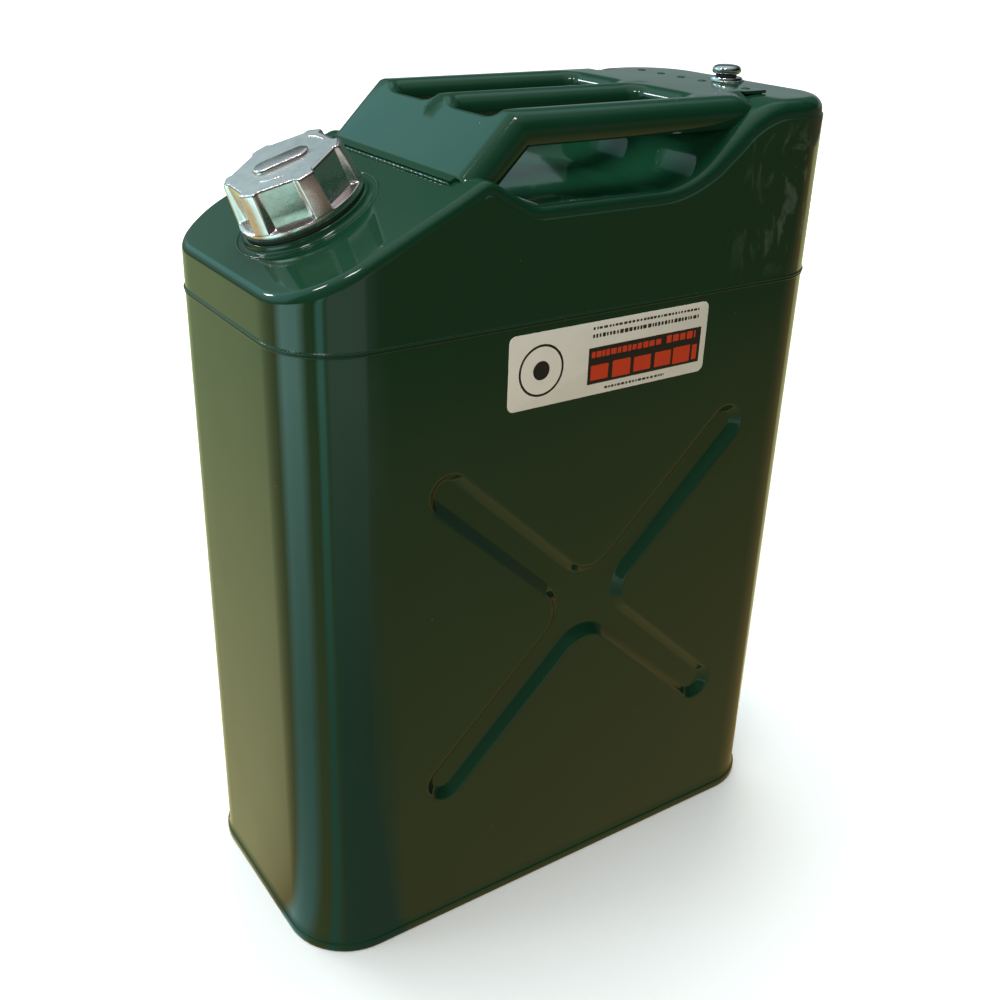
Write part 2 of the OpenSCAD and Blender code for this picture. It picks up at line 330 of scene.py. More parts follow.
class Nodes:
    """Short ways to add nodes to a tree; a value is a node's output, a number or an (r, g, b) tuple."""

    def __init__(self, tree):
        self.tree = tree

    def node(self, kind, **settings):
        made = self.tree.nodes.new("ShaderNode" + kind)
        for key, value in settings.items():
            setattr(made, key, value)
        return made

    def link(self, source, target):
        self.tree.links.new(source, target)

    def feed(self, value, socket):
        if isinstance(value, tuple):
            socket.default_value = (*value, 1)
        elif isinstance(value, (int, float)):
            socket.default_value = value
        else:
            self.link(value, socket)

    def remap(self, value, low, high, to_low=0.0, to_high=1.0):
        node = self.node("MapRange", clamp=True)
        numbers = {"From Min": low, "From Max": high, "To Min": to_low, "To Max": to_high}
        for socket, number in numbers.items():
            node.inputs[socket].default_value = number
        self.link(value, node.inputs["Value"])
        return node.outputs["Result"]

    def maths(self, operation, *values):
        node = self.node("Math", operation=operation)
        for value, socket in zip(values, node.inputs):
            self.feed(value, socket)
        return node.outputs["Value"]

    def times(self, first, second):
        return self.maths("MULTIPLY", first, second)

    def plus(self, first, second):
        return self.maths("ADD", first, second)

    def blend(self, amount, first, second, kind="MIX"):
        """Mix of two colours."""
        node = self.node("Mix", data_type="RGBA", blend_type=kind)
        self.link(amount, node.inputs["Factor"])
        self.feed(first, node.inputs[6])
        self.feed(second, node.inputs[7])
        return node.outputs[2]

    def ramp(self, value, bands):
        """A colour ramp over a direction's component, from -1 (position 0) to 1 (position 1)."""
        ramp = self.node("ValToRGB")
        elements = ramp.color_ramp.elements
        while len(elements) < len(bands):
            elements.new(0.5)
        for element, (position, colour) in zip(elements, bands):
            element.position = position
            element.color = (*colour, 1)
        self.link(self.remap(value, -1, 1), ramp.inputs["Fac"])
        return ramp.outputs["Color"]


class Paint(Nodes):
    """A Principled material and the few nodes that its detail is made from."""

    def __init__(self, name, **sockets):
        self.material = bpy.data.materials.new(name)
        self.material.use_nodes = True
        super().__init__(self.material.node_tree)
        self.shader = self.tree.nodes["Principled BSDF"]
        self.place = self.node("TexCoord").outputs["Object"]
        for socket, value in sockets.items():
            self.shader.inputs[socket.replace("_", " ")].default_value = value

    def grain(self, size, detail=3.0, rough=0.5, scale=(1, 1, 1), turn=(0, 0, 0), distortion=0.0):
        """Noise with features of about size metres, stretched and turned, from 0 to 1."""
        mapping = self.node("Mapping")
        mapping.inputs["Scale"].default_value = scale
        mapping.inputs["Rotation"].default_value = turn
        self.link(self.place, mapping.inputs["Vector"])
        texture = self.node("TexNoise")
        texture.inputs["Scale"].default_value = 1 / size
        texture.inputs["Detail"].default_value = detail
        texture.inputs["Roughness"].default_value = rough
        texture.inputs["Distortion"].default_value = distortion
        self.link(mapping.outputs["Vector"], texture.inputs["Vector"])
        return texture.outputs["Fac"]

    def specks(self, size, radius):
        """Scattered round dots, 1 on a dot: the middles of cells."""
        texture = self.node("TexVoronoi", feature="F1")
        texture.inputs["Scale"].default_value = 1 / size
        self.link(self.place, texture.inputs["Vector"])
        return self.remap(texture.outputs["Distance"], radius * 0.5, radius, 1.0, 0.0)

    def bump(self, height, depth, onto=None):
        """A bump of depth metres; onto is an earlier bump's normal."""
        node = self.node("Bump")
        node.inputs["Strength"].default_value = 1.0
        node.inputs["Distance"].default_value = depth
        self.link(height, node.inputs["Height"])
        if onto:
            self.link(onto, node.inputs["Normal"])
        return node.outputs["Normal"]

    def position(self, axis):
        """One object coordinate, in metres."""
        node = self.node("SeparateXYZ")
        self.link(self.place, node.inputs["Vector"])
        return node.outputs[axis]

    def finish(self, colour, roughness, normal=None):
        """The material, with its three main sockets fed."""
        self.link(colour, self.shader.inputs["Base Color"])
        self.link(roughness, self.shader.inputs["Roughness"])
        if normal:
            self.link(normal, self.shader.inputs["Normal"])
        return self.material


ENAMEL = (0.0046, 0.030, 0.0145)
ENAMEL_DEEP = (0.0038, 0.025, 0.0118)
ENAMEL_DUSTY = (0.014, 0.034, 0.022)
BARE_SPECK = (0.20, 0.21, 0.18)
# Painted reflection: the lighter teal of the streaks on the upper shell's side.
PAINTED_REFLECTION_TEAL = (0.075, 0.11, 0.092)


def enamel_material(name, painted_reflection=False, ripple=0.0):
    """High-gloss baked enamel: slow tone changes, dust, bare specks, orange peel and panel waves; optionally
    painted reflection streaks.
    """
    paint = Paint(name, Coat_Weight=0.0, IOR=1.5)
    colour = paint.blend(paint.grain(0.11, detail=4), ENAMEL_DEEP, ENAMEL)
    dust = paint.remap(paint.grain(0.03, detail=6, rough=0.65), 0.55, 0.85, 0.0, 0.22)
    colour = paint.blend(dust, colour, ENAMEL_DUSTY)
    sparse = paint.remap(paint.grain(0.04), 0.52, 0.6)
    specks = paint.times(paint.specks(0.011, 0.03), sparse)
    colour = paint.blend(specks, colour, BARE_SPECK)
    roughness = paint.remap(paint.grain(0.05, detail=5, rough=0.6), 0.3, 0.75, 0.035, 0.10)
    # Painted reflection: lighter teal streaks, and the finish there is also made rougher.
    if painted_reflection:
        reflection_streaks = painted_reflection_mask(paint)
        colour = paint.blend(paint.times(reflection_streaks, 0.6), colour, PAINTED_REFLECTION_TEAL)
        roughness = paint.plus(roughness, paint.times(reflection_streaks, 0.12))
    roughness = paint.plus(roughness, paint.times(specks, 0.5))
    waves = paint.bump(paint.grain(0.0026, detail=1.5), 0.0000035)
    waves = paint.bump(paint.grain(0.055, detail=1.0), 0.00030, waves)
    if ripple:
        waves = paint.bump(paint.grain(0.0022, detail=2.0), ripple, waves)
    return paint.finish(colour, roughness, waves)


def painted_reflection_mask(paint):
    """Where the painted reflection goes: lighter teal streaks on the upper shell's side near the rear corner.
    """
    streaks = paint.grain(0.012, detail=4, rough=0.6, scale=(0.8, 1, 0.4), distortion=1.4)
    along, height = paint.position("X"), paint.position("Z")
    mask = paint.remap(streaks, 0.52, 0.66)
    edges = [(along, 0.085, 0.115), (along, 0.166, 0.158), (height, 0.372, 0.392), (height, 0.458, 0.448)]
    for value, outside, inside in edges:
        mask = paint.times(mask, paint.remap(value, outside, inside))
    return mask


def aluminium_material():
    """Polished die-cast flanks with a blotchy gloss and handling marks."""
    paint = Paint("cast_aluminium", Metallic=1.0, IOR=1.5)
    tone = paint.blend(paint.grain(0.012, detail=5), (0.75, 0.63, 0.63), (0.93, 0.81, 0.82))
    marks = paint.remap(paint.grain(0.0005, detail=2, scale=(1, 0.03, 1), turn=(0.3, 0.2, 0.9)), 0.63, 0.70)
    tone = paint.blend(paint.times(marks, 0.3), tone, (0.5, 0.5, 0.5))
    blotch = paint.remap(paint.grain(0.009, detail=5, rough=0.7), 0.3, 0.7, 0.16, 0.30)
    cast = paint.bump(paint.grain(0.0035, detail=3), 0.00005)
    cast = paint.bump(paint.grain(0.0006, detail=2), 0.000006, cast)
    return paint.finish(tone, paint.plus(blotch, paint.times(marks, 0.1)), cast)


def satin_material():
    """The cap's top: the same casting, blasted to a satin finish."""
    paint = Paint("satin_aluminium", Metallic=1.0, IOR=1.5)
    tone = paint.blend(paint.grain(0.008, detail=6), (0.74, 0.71, 0.71), (0.92, 0.89, 0.89))
    roughness = paint.remap(paint.grain(0.004, detail=6, rough=0.7), 0.25, 0.75, 0.36, 0.50)
    cast = paint.bump(paint.grain(0.0045, detail=3), 0.00004)
    return paint.finish(tone, roughness, paint.bump(paint.grain(0.0005, detail=2), 0.000012, cast))


def steel_material(name, low, high, rough_low, rough_high, turned):
    """Plated turned steel: faint lathe lines, tarnish and fingerprints."""
    paint = Paint(name, Metallic=1.0, IOR=1.5)
    tone = paint.blend(paint.grain(0.004, detail=5), low, high)
    roughness = paint.remap(paint.grain(0.003, detail=4), 0.3, 0.7, rough_low, rough_high)
    lines = paint.bump(paint.grain(0.0006, detail=1, scale=(0.05, 0.05, 1)), turned)
    return paint.finish(tone, roughness, lines)


def rubber_material():
    """Black nitrile rubber with a fine matt bloom."""
    paint = Paint("black_rubber", Specular_IOR_Level=0.4)
    tone = paint.blend(paint.grain(0.006, detail=4), (0.008, 0.008, 0.008), (0.022, 0.022, 0.021))
    roughness = paint.remap(paint.grain(0.003, detail=4), 0.3, 0.7, 0.42, 0.62)
    return paint.finish(tone, roughness, paint.bump(paint.grain(0.0008, detail=2), 0.00002))


def print_material(name, ink, worn, rough):
    """Ink or paper of the label: mottled, with worn flecks."""
    paint = Paint(name, Specular_IOR_Level=0.4)
    flecks = paint.remap(paint.grain(0.0012, detail=4, rough=0.7), 0.6, 0.72, 0.0, 0.55)
    tone = paint.blend(paint.grain(0.01, detail=4), ink, tuple(v * 0.86 for v in ink))
    roughness = paint.remap(paint.grain(0.004), 0.3, 0.7, rough, rough + 0.15)
    pulp = paint.bump(paint.grain(0.001, detail=2), 0.000008)
    return paint.finish(paint.blend(flecks, tone, worn), roughness, pulp)


enamel = enamel_material("green_enamel")
# The upper shell's enamel carries painted reflection streaks near the rear corner.
enamel_upper = enamel_material("green_enamel_painted_reflection", painted_reflection=True)
enamel_weld = enamel_material("enamel_weld", ripple=0.00012)
aluminium = aluminium_material()
satin = satin_material()
zinc = steel_material("zinc_steel", (0.50, 0.50, 0.48), (0.68, 0.68, 0.67), 0.24, 0.40, 0.00002)
plating = steel_material("bright_plating", (0.62, 0.64, 0.65), (0.80, 0.82, 0.83), 0.08, 0.20, 0.000008)
rubber = rubber_material()
paper = print_material("label_paper", (0.72, 0.72, 0.70), (0.55, 0.55, 0.52), 0.32)
black_ink = print_material("label_black", (0.012, 0.012, 0.012), (0.10, 0.10, 0.10), 0.30)
red_ink = print_material("label_red", (0.55, 0.045, 0.016), (0.32, 0.07, 0.05), 0.30)


# -------- lower body


def cross_outline(grow):
    """Outline of the pressed cross as (x, z) from its centre, grown from its floor's edge."""
    half, fillet = CROSS_FLOOR_W / 2 + grow, CROTCH_R - grow
    lean, reach = math.atan2(CROSS_REACH.y, CROSS_REACH.x), CROSS_REACH.length
    arms = [lean, math.pi - lean, math.pi + lean, TAU - lean, TAU + lean]
    outline = []
    for arm, following in zip(arms, arms[1:]):
        end = polar(reach, arm)
        outline += [end + polar(half, turn) for turn in steps(arm - math.pi / 2, arm + math.pi / 2, 12)]
        centre = polar((half + fillet) / math.sin((following - arm) / 2), (arm + following) / 2)
        turns = steps(arm - math.pi / 2, following - 1.5 * math.pi, 8)
        bend = [centre + polar(fillet, turn) for turn in turns]
        outline += [outline[-1].lerp(bend[0], t) for t in steps(0, 1, 5)[1:-1]] + bend
        side = polar(reach, following) + polar(half, following - math.pi / 2)
        outline += [bend[-1].lerp(side, t) for t in steps(0, 1, 5)[1:-1]]
    return outline


def panel_border(outline, low, high):
    """Points of a rectangle's edge on the rays through an outline; its corners are among them."""
    border = []
    for ray in outline:
        reach = min(
            (high.x if ray.x > 0 else low.x) / ray.x if abs(ray.x) > 1e-6 else 1e9,
            (high.y if ray.y > 0 else low.y) / ray.y if abs(ray.y) > 1e-6 else 1e9,
        )
        border.append(ray * reach)
    return snap_to_corners(border, low, high)


def snap_to_corners(border, low, high):
    """Moves the nearest point of a border onto each corner of its rectangle."""
    for corner in (low, high, Vector((low.x, high.y)), Vector((high.x, low.y))):
        nearest = min(range(len(border)), key=lambda i: (border[i] - corner).length)
        border[nearest] = corner.copy()
    return border


def lower_body():
    """The drawn lower shell, with its pressed crosses and the cove over the base seam."""
    shape = Shape()
    cove_top = SEAM_TOP + 6
    half_l = BODY_L / 2 - CORNER_R
    slope = 5.5
    layers = [(0, CROSS_DEPTH), (0.7, CROSS_DEPTH - 0.15), (1.3, CROSS_DEPTH - 0.6), (1.3 + slope / 2, 2.6)]
    layers += [(slope, 0.75), (slope + 1, 0.22), (slope + 2.2, 0)]
    low = Vector((-half_l, cove_top)) - CROSS
    high = Vector((half_l, GIRTH_Z)) - CROSS
    rim = cross_outline(layers[-1][0])
    border = panel_border(rim, low, high)

    def on_side(points, side, depth=0.0):
        return [(CROSS.x + p.x, side * (BODY_W / 2 - depth), CROSS.y + p.y) for p in points]

    for side in (-1, 1):
        rings = [on_side([Vector((0, 0))] * len(border), side, CROSS_DEPTH)]
        rings += [on_side(cross_outline(grow), side, depth) for grow, depth in layers]
        for t in (0.25, 0.6, 1.0):
            rings.append(on_side([a.lerp(b, t) for a, b in zip(rim, border)], side))
        shape.patch(rings, wrap_columns=True)
    corners = [(CROSS.x + p.x, CROSS.y + p.y) for p in border]
    for end in (-1, 1):
        heights = on_level(corners, 0, end * half_l)
        columns = [(p, n) for p, n, _ in plan_loop(straight_step=15) if p.x * end >= half_l - 1e-4]
        columns.sort(key=lambda column: math.atan2(column[0].y, column[0].x * end - half_l + 1))
        shape.patch([[(*point, z) for z in heights] for point, _ in columns])
        cove_patch(shape, columns, cove_top)
    for side in (-1, 1):
        edge = [(Vector((x, side * BODY_W / 2)), Vector((0, side))) for x in on_level(corners, 1, cove_top)]
        cove_patch(shape, edge, cove_top)
    make_piece("lower_body_shell", shape, "can", "lower_body", "green_enamel", enamel, thickness=SHEET)


def cove_patch(shape, edge, top):
    """The small outward cove where the body's wall runs into the base seam."""
    reach, rise = 1.2, top - SEAM_TOP
    turns = steps(0, math.pi / 2, 5)
    section = [(reach * (1 - math.sin(a)), SEAM_TOP + rise * (1 - math.cos(a))) for a in turns]
    shape.patch([[(*(point + normal * out), z) for out, z in section] for point, normal in edge])


def bottom_pan():
    """The pan folded round the body's foot: a rolled seam with the pan's floor raised inside it."""
    shape = Shape()
    top = SEAM_TOP
    section = [(1.0, top + 0.15), (1.35, top - 0.4), (1.5, top - 1.2), (1.5, 1.4), (1.3, 0.5), (0.7, 0.06)]
    section += [(0.0, 0.0), (-0.9, 0.0), (-1.8, 0.25), (-2.3, 0.9), (-2.4, 3.2), (-2.9, 4.3), (-4.0, 4.7)]
    rows = swept_ring(section, straight_step=45)
    shape.patch(rows, wrap_rows=True)
    inner = [row[-1] for row in rows]
    ribs = [(0.86, 4.7), (0.84, 4.3), (0.80, 3.9), (0.76, 4.3), (0.74, 4.7), (0.0, 4.7)]
    floor = [inner] + [[(x * scale, y * scale, z) for x, y, _ in inner] for scale, z in ribs]
    shape.patch(floor, wrap_columns=True)
    make_piece("bottom_pan_seam", shape, "can", "bottom_pan", "green_enamel", enamel, sharp=50)


def girth_weld():
    """The seam between the two shells: a folded lip over a rippled weld bead, under the enamel."""
    rng = random.Random(4)
    swells = [rng.uniform(0.0, TAU) for _ in range(3)]

    def ripple(distance):
        slow = math.sin(distance / 17 + swells[0]) + 0.6 * math.sin(distance / 7.3 + swells[1])
        return 0.90 + 0.06 * math.sin(distance / 0.62 + swells[2]) + 0.035 * slow

    bead_part = [(-0.2, -1.75), (0.15, -1.6), (0.42, -1.35), (0.55, -1.0), (0.5, -0.65), (0.2, -0.4)]
    lip = [(0.1, -0.1), (0.25, 0.15), (0.7, 0.35), (0.95, 0.75), (0.88, 1.15), (0.5, 1.45)]
    lip += [(0.15, 1.6), (-0.2, 1.75)]
    shape = Shape()
    section = [(out * 0.92, GIRTH_Z + z * 0.9) for out, z in bead_part + lip]
    shape.patch(swept_ring(section, ripple, arc_steps=40, straight_step=1.6), wrap_rows=True)
    make_piece("girth_seam", shape, "can", "girth_weld", "enamel_weld", enamel_weld, sharp=60)


def bead(path, radius, rng, sides, sweep):
    """Rows of a rippled weld bead along a path of (point, side direction, up direction)."""
    rows = []
    phase = rng.uniform(0, TAU)
    for i, (point, side, up) in enumerate(path):
        taper = min(1.0, 0.35 + 0.5 * min(i, len(path) - 1 - i))
        swell = radius * taper * (1 + 0.09 * math.sin(i * 1.9 + phase) + rng.uniform(-0.04, 0.04))
        rows.append([point + (side * math.cos(a) + up * math.sin(a)) * swell for a in steps(0, sweep, sides)])
    return rows


def ring_bead(radius, count, wave, phase, rough, squash, rng):
    """Rows of a rippled weld bead round a circle about Z."""
    rows = []
    for i, turn in enumerate(steps(0, TAU, count)[:-1]):
        swell = 0.75 * (1 + 2 * rough * math.sin(i * wave + phase) + rng.uniform(-rough, rough))
        section = [(radius + swell * math.cos(a), squash * swell * math.sin(a)) for a in steps(0, math.pi, 6)]
        rows.append([polar(r, turn, z) for r, z in section])
    return rows


def body_seam():
    """The upright weld at the rear, where the body's sheet closes on itself."""
    low, high = box_mm("body_seam_weld")
    x = BODY_L / 2 - 0.55
    path = [(Vector((x, 0, z)), Vector((0, 1, 0)), Vector((1, 0, 0))) for z in steps(low.z, high.z, 240)]
    shape = Shape()
    shape.patch(bead(path, 1.25, random.Random(8), 8, math.pi))
    make_piece("body_seam_bead", shape, "can", "body_seam_weld", "enamel_weld", enamel_weld, sharp=60)


# -------- upper shell


def shoulder_at(x):
    return FILLER.z + (x - FILLER.x) * math.tan(SHOULDER_ANGLE)


ridge_touch = RIDGE_X - RIDGE_R * math.sin(SHOULDER_ANGLE)
ridge_cz = shoulder_at(ridge_touch) - RIDGE_R * math.cos(SHOULDER_ANGLE)
ridge_end = Vector((RIDGE_X + RIDGE_R * math.sin(FRONT_FALL), ridge_cz + RIDGE_R * math.cos(FRONT_FALL)))
front_top = RECESS_Z + FRONT_R * (1 - math.cos(FRONT_FALL))
front_cx = ridge_end.x + (ridge_end.y - front_top) / math.tan(FRONT_FALL) + FRONT_R * math.sin(FRONT_FALL)
rear_low = Vector((REAR_X0 + REAR_R0 * math.sin(REAR_RISE), RECESS_Z + REAR_R0 * (1 - math.cos(REAR_RISE))))
rear_high_z = DECK_Z - REAR_R1 * (1 - math.cos(REAR_RISE))
rear_cx = rear_low.x + (rear_high_z - rear_low.y) / math.tan(REAR_RISE) + REAR_R1 * math.sin(REAR_RISE)


def top_at(x):
    """Height of the upper shell's top surface."""
    if x < ridge_touch:
        return shoulder_at(x)
    if x < ridge_end.x:
        return ridge_cz + math.sqrt(RIDGE_R**2 - (x - RIDGE_X) ** 2)
    if x < front_cx - FRONT_R * math.sin(FRONT_FALL):
        return ridge_end.y - (x - ridge_end.x) * math.tan(FRONT_FALL)
    if x < front_cx:
        return RECESS_Z + FRONT_R - math.sqrt(FRONT_R**2 - (x - front_cx) ** 2)
    if x < REAR_X0:
        return RECESS_Z
    if x < rear_low.x:
        return RECESS_Z + REAR_R0 - math.sqrt(REAR_R0**2 - (x - REAR_X0) ** 2)
    if x < rear_cx - REAR_R1 * math.sin(REAR_RISE):
        return rear_low.y + (x - rear_low.x) * math.tan(REAR_RISE)
    if x < rear_cx:
        return DECK_Z - REAR_R1 + math.sqrt(REAR_R1**2 - (x - rear_cx) ** 2)
    return DECK_Z


def steepness(x):
    """1 / cos of the top surface's slope."""
    rise = (top_at(x + 0.2) - top_at(x - 0.2)) / 0.4
    return math.hypot(1, rise)


def long_side_places():
    """x of the rows between the corners: close together where the outline turns."""
    half_l = BODY_L / 2 - CORNER_R
    runs = [
        (-half_l, ridge_touch, 10), (ridge_touch, ridge_end.x, 9), (ridge_end.x, front_cx - 11, 4),
        (front_cx - 11, front_cx, 7), (front_cx, REAR_X0, 12), (REAR_X0, rear_low.x, 12),
        (rear_low.x, rear_cx - 32.8, 3), (rear_cx - 32.8, rear_cx, 12), (rear_cx, half_l, 3),
    ]
    places = [-half_l]
    for first, last, count in runs:
        places += steps(first, last, count)[1:]
    return places


def edge_radius(x, normal):
    """Radius of the rounded edge between the wall and the top surface."""
    at_front = smooth(0.55, 1.0, -normal.x)
    at_deck = smooth(60, 105, x)
    return 4.8 + 3.0 * at_deck - 1.8 * at_front


def crease_at(x):
    """How deep the pressed step below the recess's rim is: it starts at the ridge and runs on to the rear."""
    return CREASE_STEP * smooth(CREASE_START_X, CREASE_FULL_X, x)


def crease_drop(x):
    """How far below the top surface, along the wall, the pressed step is."""
    return 6.2 + 3.0 * smooth(60, 115, x)


def wall_section(point, normal):
    """(inset, drop below the top) from the top surface's edge down past the pressed step."""
    step_in = crease_at(point.x)
    radius = edge_radius(point.x, normal)
    section = [
        (step_in + radius * (1 - math.cos(turn)), radius * (1 - math.sin(turn)))
        for turn in steps(math.pi / 2, 0, 8)
    ]
    drop = crease_drop(point.x)
    section += [(step_in, drop - 0.5), (step_in * 0.85, drop - 0.2)]
    return section + [(step_in * 0.15, drop + 0.3), (0, drop + 0.6)]


class TopGrid:
    """The upper shell's top surface as rows of points from front to rear, with its edge's normals."""

    columns = [-1, -0.92, -0.8, -0.64, -0.46, -0.3, -0.15, 0, 0.15, 0.3, 0.46, 0.64, 0.8, 0.92, 1]

    def __init__(self):
        half_l, half_w = BODY_L / 2 - CORNER_R, BODY_W / 2 - CORNER_R
        corner = []
        for turn in steps(0, math.pi / 2, 14):
            normal = polar(1, math.pi - turn)
            corner.append((Vector((-half_l, half_w)) + normal * CORNER_R, normal))
        rows = list(corner)
        rows += [(Vector((x, BODY_W / 2)), Vector((0, 1))) for x in long_side_places()[1:-1]]
        rows += [(Vector((-p.x, p.y)), Vector((-n.x, n.y))) for p, n in reversed(corner)]
        self.rows = rows

    def edge(self):
        """(point, outward normal) once round the edge."""
        last, width = len(self.rows) - 1, len(self.columns) - 1
        around = [(0, j) for j in range(width + 1)]
        around += [(i, width) for i in range(1, last + 1)]
        around += [(last, j) for j in range(width - 1, -1, -1)]
        around += [(i, 0) for i in range(last - 1, 0, -1)]
        result = []
        for i, j in around:
            point, normal = self.rows[i]
            if 0 < j < width:
                point = Vector((point.x, point.y * self.columns[j]))
            elif j == 0:
                point, normal = Vector((point.x, -point.y)), Vector((normal.x, -normal.y))
            result.append((point, normal))
        return result

    def surface(self, i, j):
        """A point of the top surface."""
        point, normal = self.rows[i]
        inner = point - normal * wall_section(point, normal)[0][0]
        return Vector((inner.x, inner.y * self.columns[j], top_at(inner.x)))


def upper_shell():
    """The pressed top: shoulder, hand recess, rear deck and walls, with the filler and vent holes."""
    grid = TopGrid()
    shape = Shape()
    last, width = len(grid.rows), len(grid.columns)
    holes = [
        hole_block(grid, FILLER.x - 31, FILLER.x + 31, 3, 11, FILLER_FRAME, NECK_R + 0.05),
        hole_block(grid, VENT_X - 13, VENT_X + 11, 5, 9, VENT_FRAME, VENT_NECK_R + 0.05),
    ]
    for i in range(last - 1):
        for j in range(width - 1):
            if any(r0 <= i < r1 and c0 <= j < c1 for (r0, r1, c0, c1), _ in holes):
                continue
            corners = [(i, j), (i, j + 1), (i + 1, j + 1), (i + 1, j)]
            shape.polygon([grid.surface(*corner) for corner in corners])
    for _, rings in holes:
        shape.patch(rings, wrap_columns=True)
    walls = []
    for point, normal in grid.edge():
        column = []
        for inset, drop in wall_section(point, normal):
            place = point - normal * inset
            column.append((*place, top_at(place.x) - drop * steepness(place.x)))
        foot = column[-1]
        column += [(foot[0], foot[1], foot[2] + (GIRTH_Z - foot[2]) * t) for t in (0.3, 0.65, 1.0)]
        walls.append(column)
    shape.patch(walls, wrap_rows=True)
    make_piece(
        "upper_shell_pressing", shape, "can", "upper_shell", "green_enamel", enamel_upper, thickness=SHEET
    )


def hole_block(grid, x_low, x_high, c0, c1, place, radius):
    """The rows and columns that a round hole takes out of the grid, and the rings that fill round it."""
    inside = [i for i in range(len(grid.rows)) if x_low <= grid.surface(i, 7).x <= x_high]
    r0, r1 = inside[0], inside[-1]
    border = [(r0, j) for j in range(c0, c1)] + [(i, c1) for i in range(r0, r1)]
    border += [(r1, j) for j in range(c1, c0, -1)] + [(i, c0) for i in range(r1, r0, -1)]
    outer = [grid.surface(i, j) for i, j in border]
    to_local = place.inverted()
    circle = []
    for point in outer:
        local = to_local @ point
        circle.append(place @ polar(radius, math.atan2(local.y, local.x), 0))
    rings = [[a.lerp(b, t) for a, b in zip(outer, circle)] for t in (0, 0.5, 0.85, 1)]
    return (r0, r1, c0, c1), rings


# -------- handle


class HandlePath:
    """The handle's side outline, and how its folds hang from it."""

    def __init__(self):
        over = HANDLE_T / math.cos(SHOULDER_ANGLE) + 0.05
        foot = Vector((FOOT_X, shoulder_at(FOOT_X) + over))
        bend = Vector((BEND_X, shoulder_at(BEND_X) + over))
        brow = Vector((BROW_X, HANDLE_TOP))
        rear = Vector((LAP_X, HANDLE_TOP))
        self.corners = [foot, bend, brow, rear]
        self.radii = [0, 3.0, 4.0, 0]
        self.starts = [0.0]
        for a, b in zip(self.corners, self.corners[1:]):
            self.starts.append(self.starts[-1] + (b - a).length)
        self.bend_s, self.brow_s, self.end_s = self.starts[1:]

    def at_x(self, x):
        """Distance along the outline at a place x on the plate or the top."""
        for i, (a, b) in enumerate(zip(self.corners, self.corners[1:])):
            if x <= b.x:
                return self.starts[i] + (b - a).length * (x - a.x) / (b.x - a.x)
        return self.end_s

    def place(self, s):
        """Point and downward fold direction, with the corners rounded."""
        i = next(k for k in (0, 1, 2) if s <= self.starts[k + 1] + 1e-9)
        a, b = self.corners[i], self.corners[i + 1]
        along = (b - a).normalized()
        point = a + along * (s - self.starts[i])
        down = Vector((along.y, -along.x))
        for k, sign in ((1, -1), (2, 1)):
            before = (self.corners[k] - self.corners[k - 1]).normalized()
            after = (self.corners[k + 1] - self.corners[k]).normalized()
            half = math.acos(max(-1, min(1, before.dot(after)))) / 2
            reach = self.radii[k] * math.tan(half)
            gap = s - self.starts[k]
            if abs(gap) < reach:
                t = (gap + reach) / (2 * reach)
                p0, p1 = self.corners[k] - before * reach, self.corners[k] + after * reach
                point = p0 * (1 - t) ** 2 + self.corners[k] * 2 * t * (1 - t) + p1 * t**2
            lean = 12.0
            if k == 2 and abs(gap) < lean:
                side = -before if gap < 0 else after
                down = down + side * math.tan(half) * (1 - abs(gap) / lean)
        return point, down

    def surface(self, s, y, depth=0.0):
        point, down = self.place(s)
        point = point + down * depth
        sunk = 4 * smooth(BAR_END_X - 14, BAR_END_X, point.x) * smooth(LAP_HALF_W, LAP_HALF_W + 8, abs(y))
        return Vector((point.x, y, point.y - sunk))


def slot_outline(path, side):
    """(place, outward normal) in (s, y) round the mouth of one slot; y is measured from the middle."""
    s0, s1 = path.at_x(SLOT_X[0]), path.at_x(SLOT_X[1])
    near, far = SLOT_FRONT_CORNER_R
    inner, outer = (near, far) if side > 0 else (far, near)
    corners = [
        (s0, SLOT_Y[0], 1, 1, inner), (s1, SLOT_Y[0], -1, 1, SLOT_CORNER_R),
        (s1, SLOT_Y[1], -1, -1, SLOT_CORNER_R), (s0, SLOT_Y[1], 1, -1, outer),
    ]
    outline = []
    for quarter, (s, y, to_s, to_y, r) in enumerate(corners):
        centre = Vector((s + to_s * r, y + to_y * r))
        for turn in steps(math.pi * (1 + quarter / 2), math.pi * (1.5 + quarter / 2), 9):
            normal = polar(1, turn)
            outline.append((centre + normal * r, normal))
        count = 16 if quarter in (0, 2) else 6
        s, y, to_s, to_y, r = corners[(quarter + 1) % 4]
        target = Vector((s + to_s * r, y + to_y * r)) + normal * r
        here = outline[-1][0]
        outline += [(here.lerp(target, k / count), normal) for k in range(1, count)]
    return outline


def slot_ring(path, side, turn):
    """(s, y, depth) round a slot where its rolled edge has turned down by an angle."""
    ring = []
    for place, normal in slot_outline(path, side):
        end_r = SLOT_FRONT_R if normal.x < 0 else SLOT_REAR_R
        out = 1 - math.sin(turn)
        depth = (1 - math.cos(turn)) * (end_r * normal.x**2 + SLOT_SIDE_R * normal.y**2)
        ring.append((place.x + normal.x * end_r * out, place.y + normal.y * SLOT_SIDE_R * out, depth))
    return ring


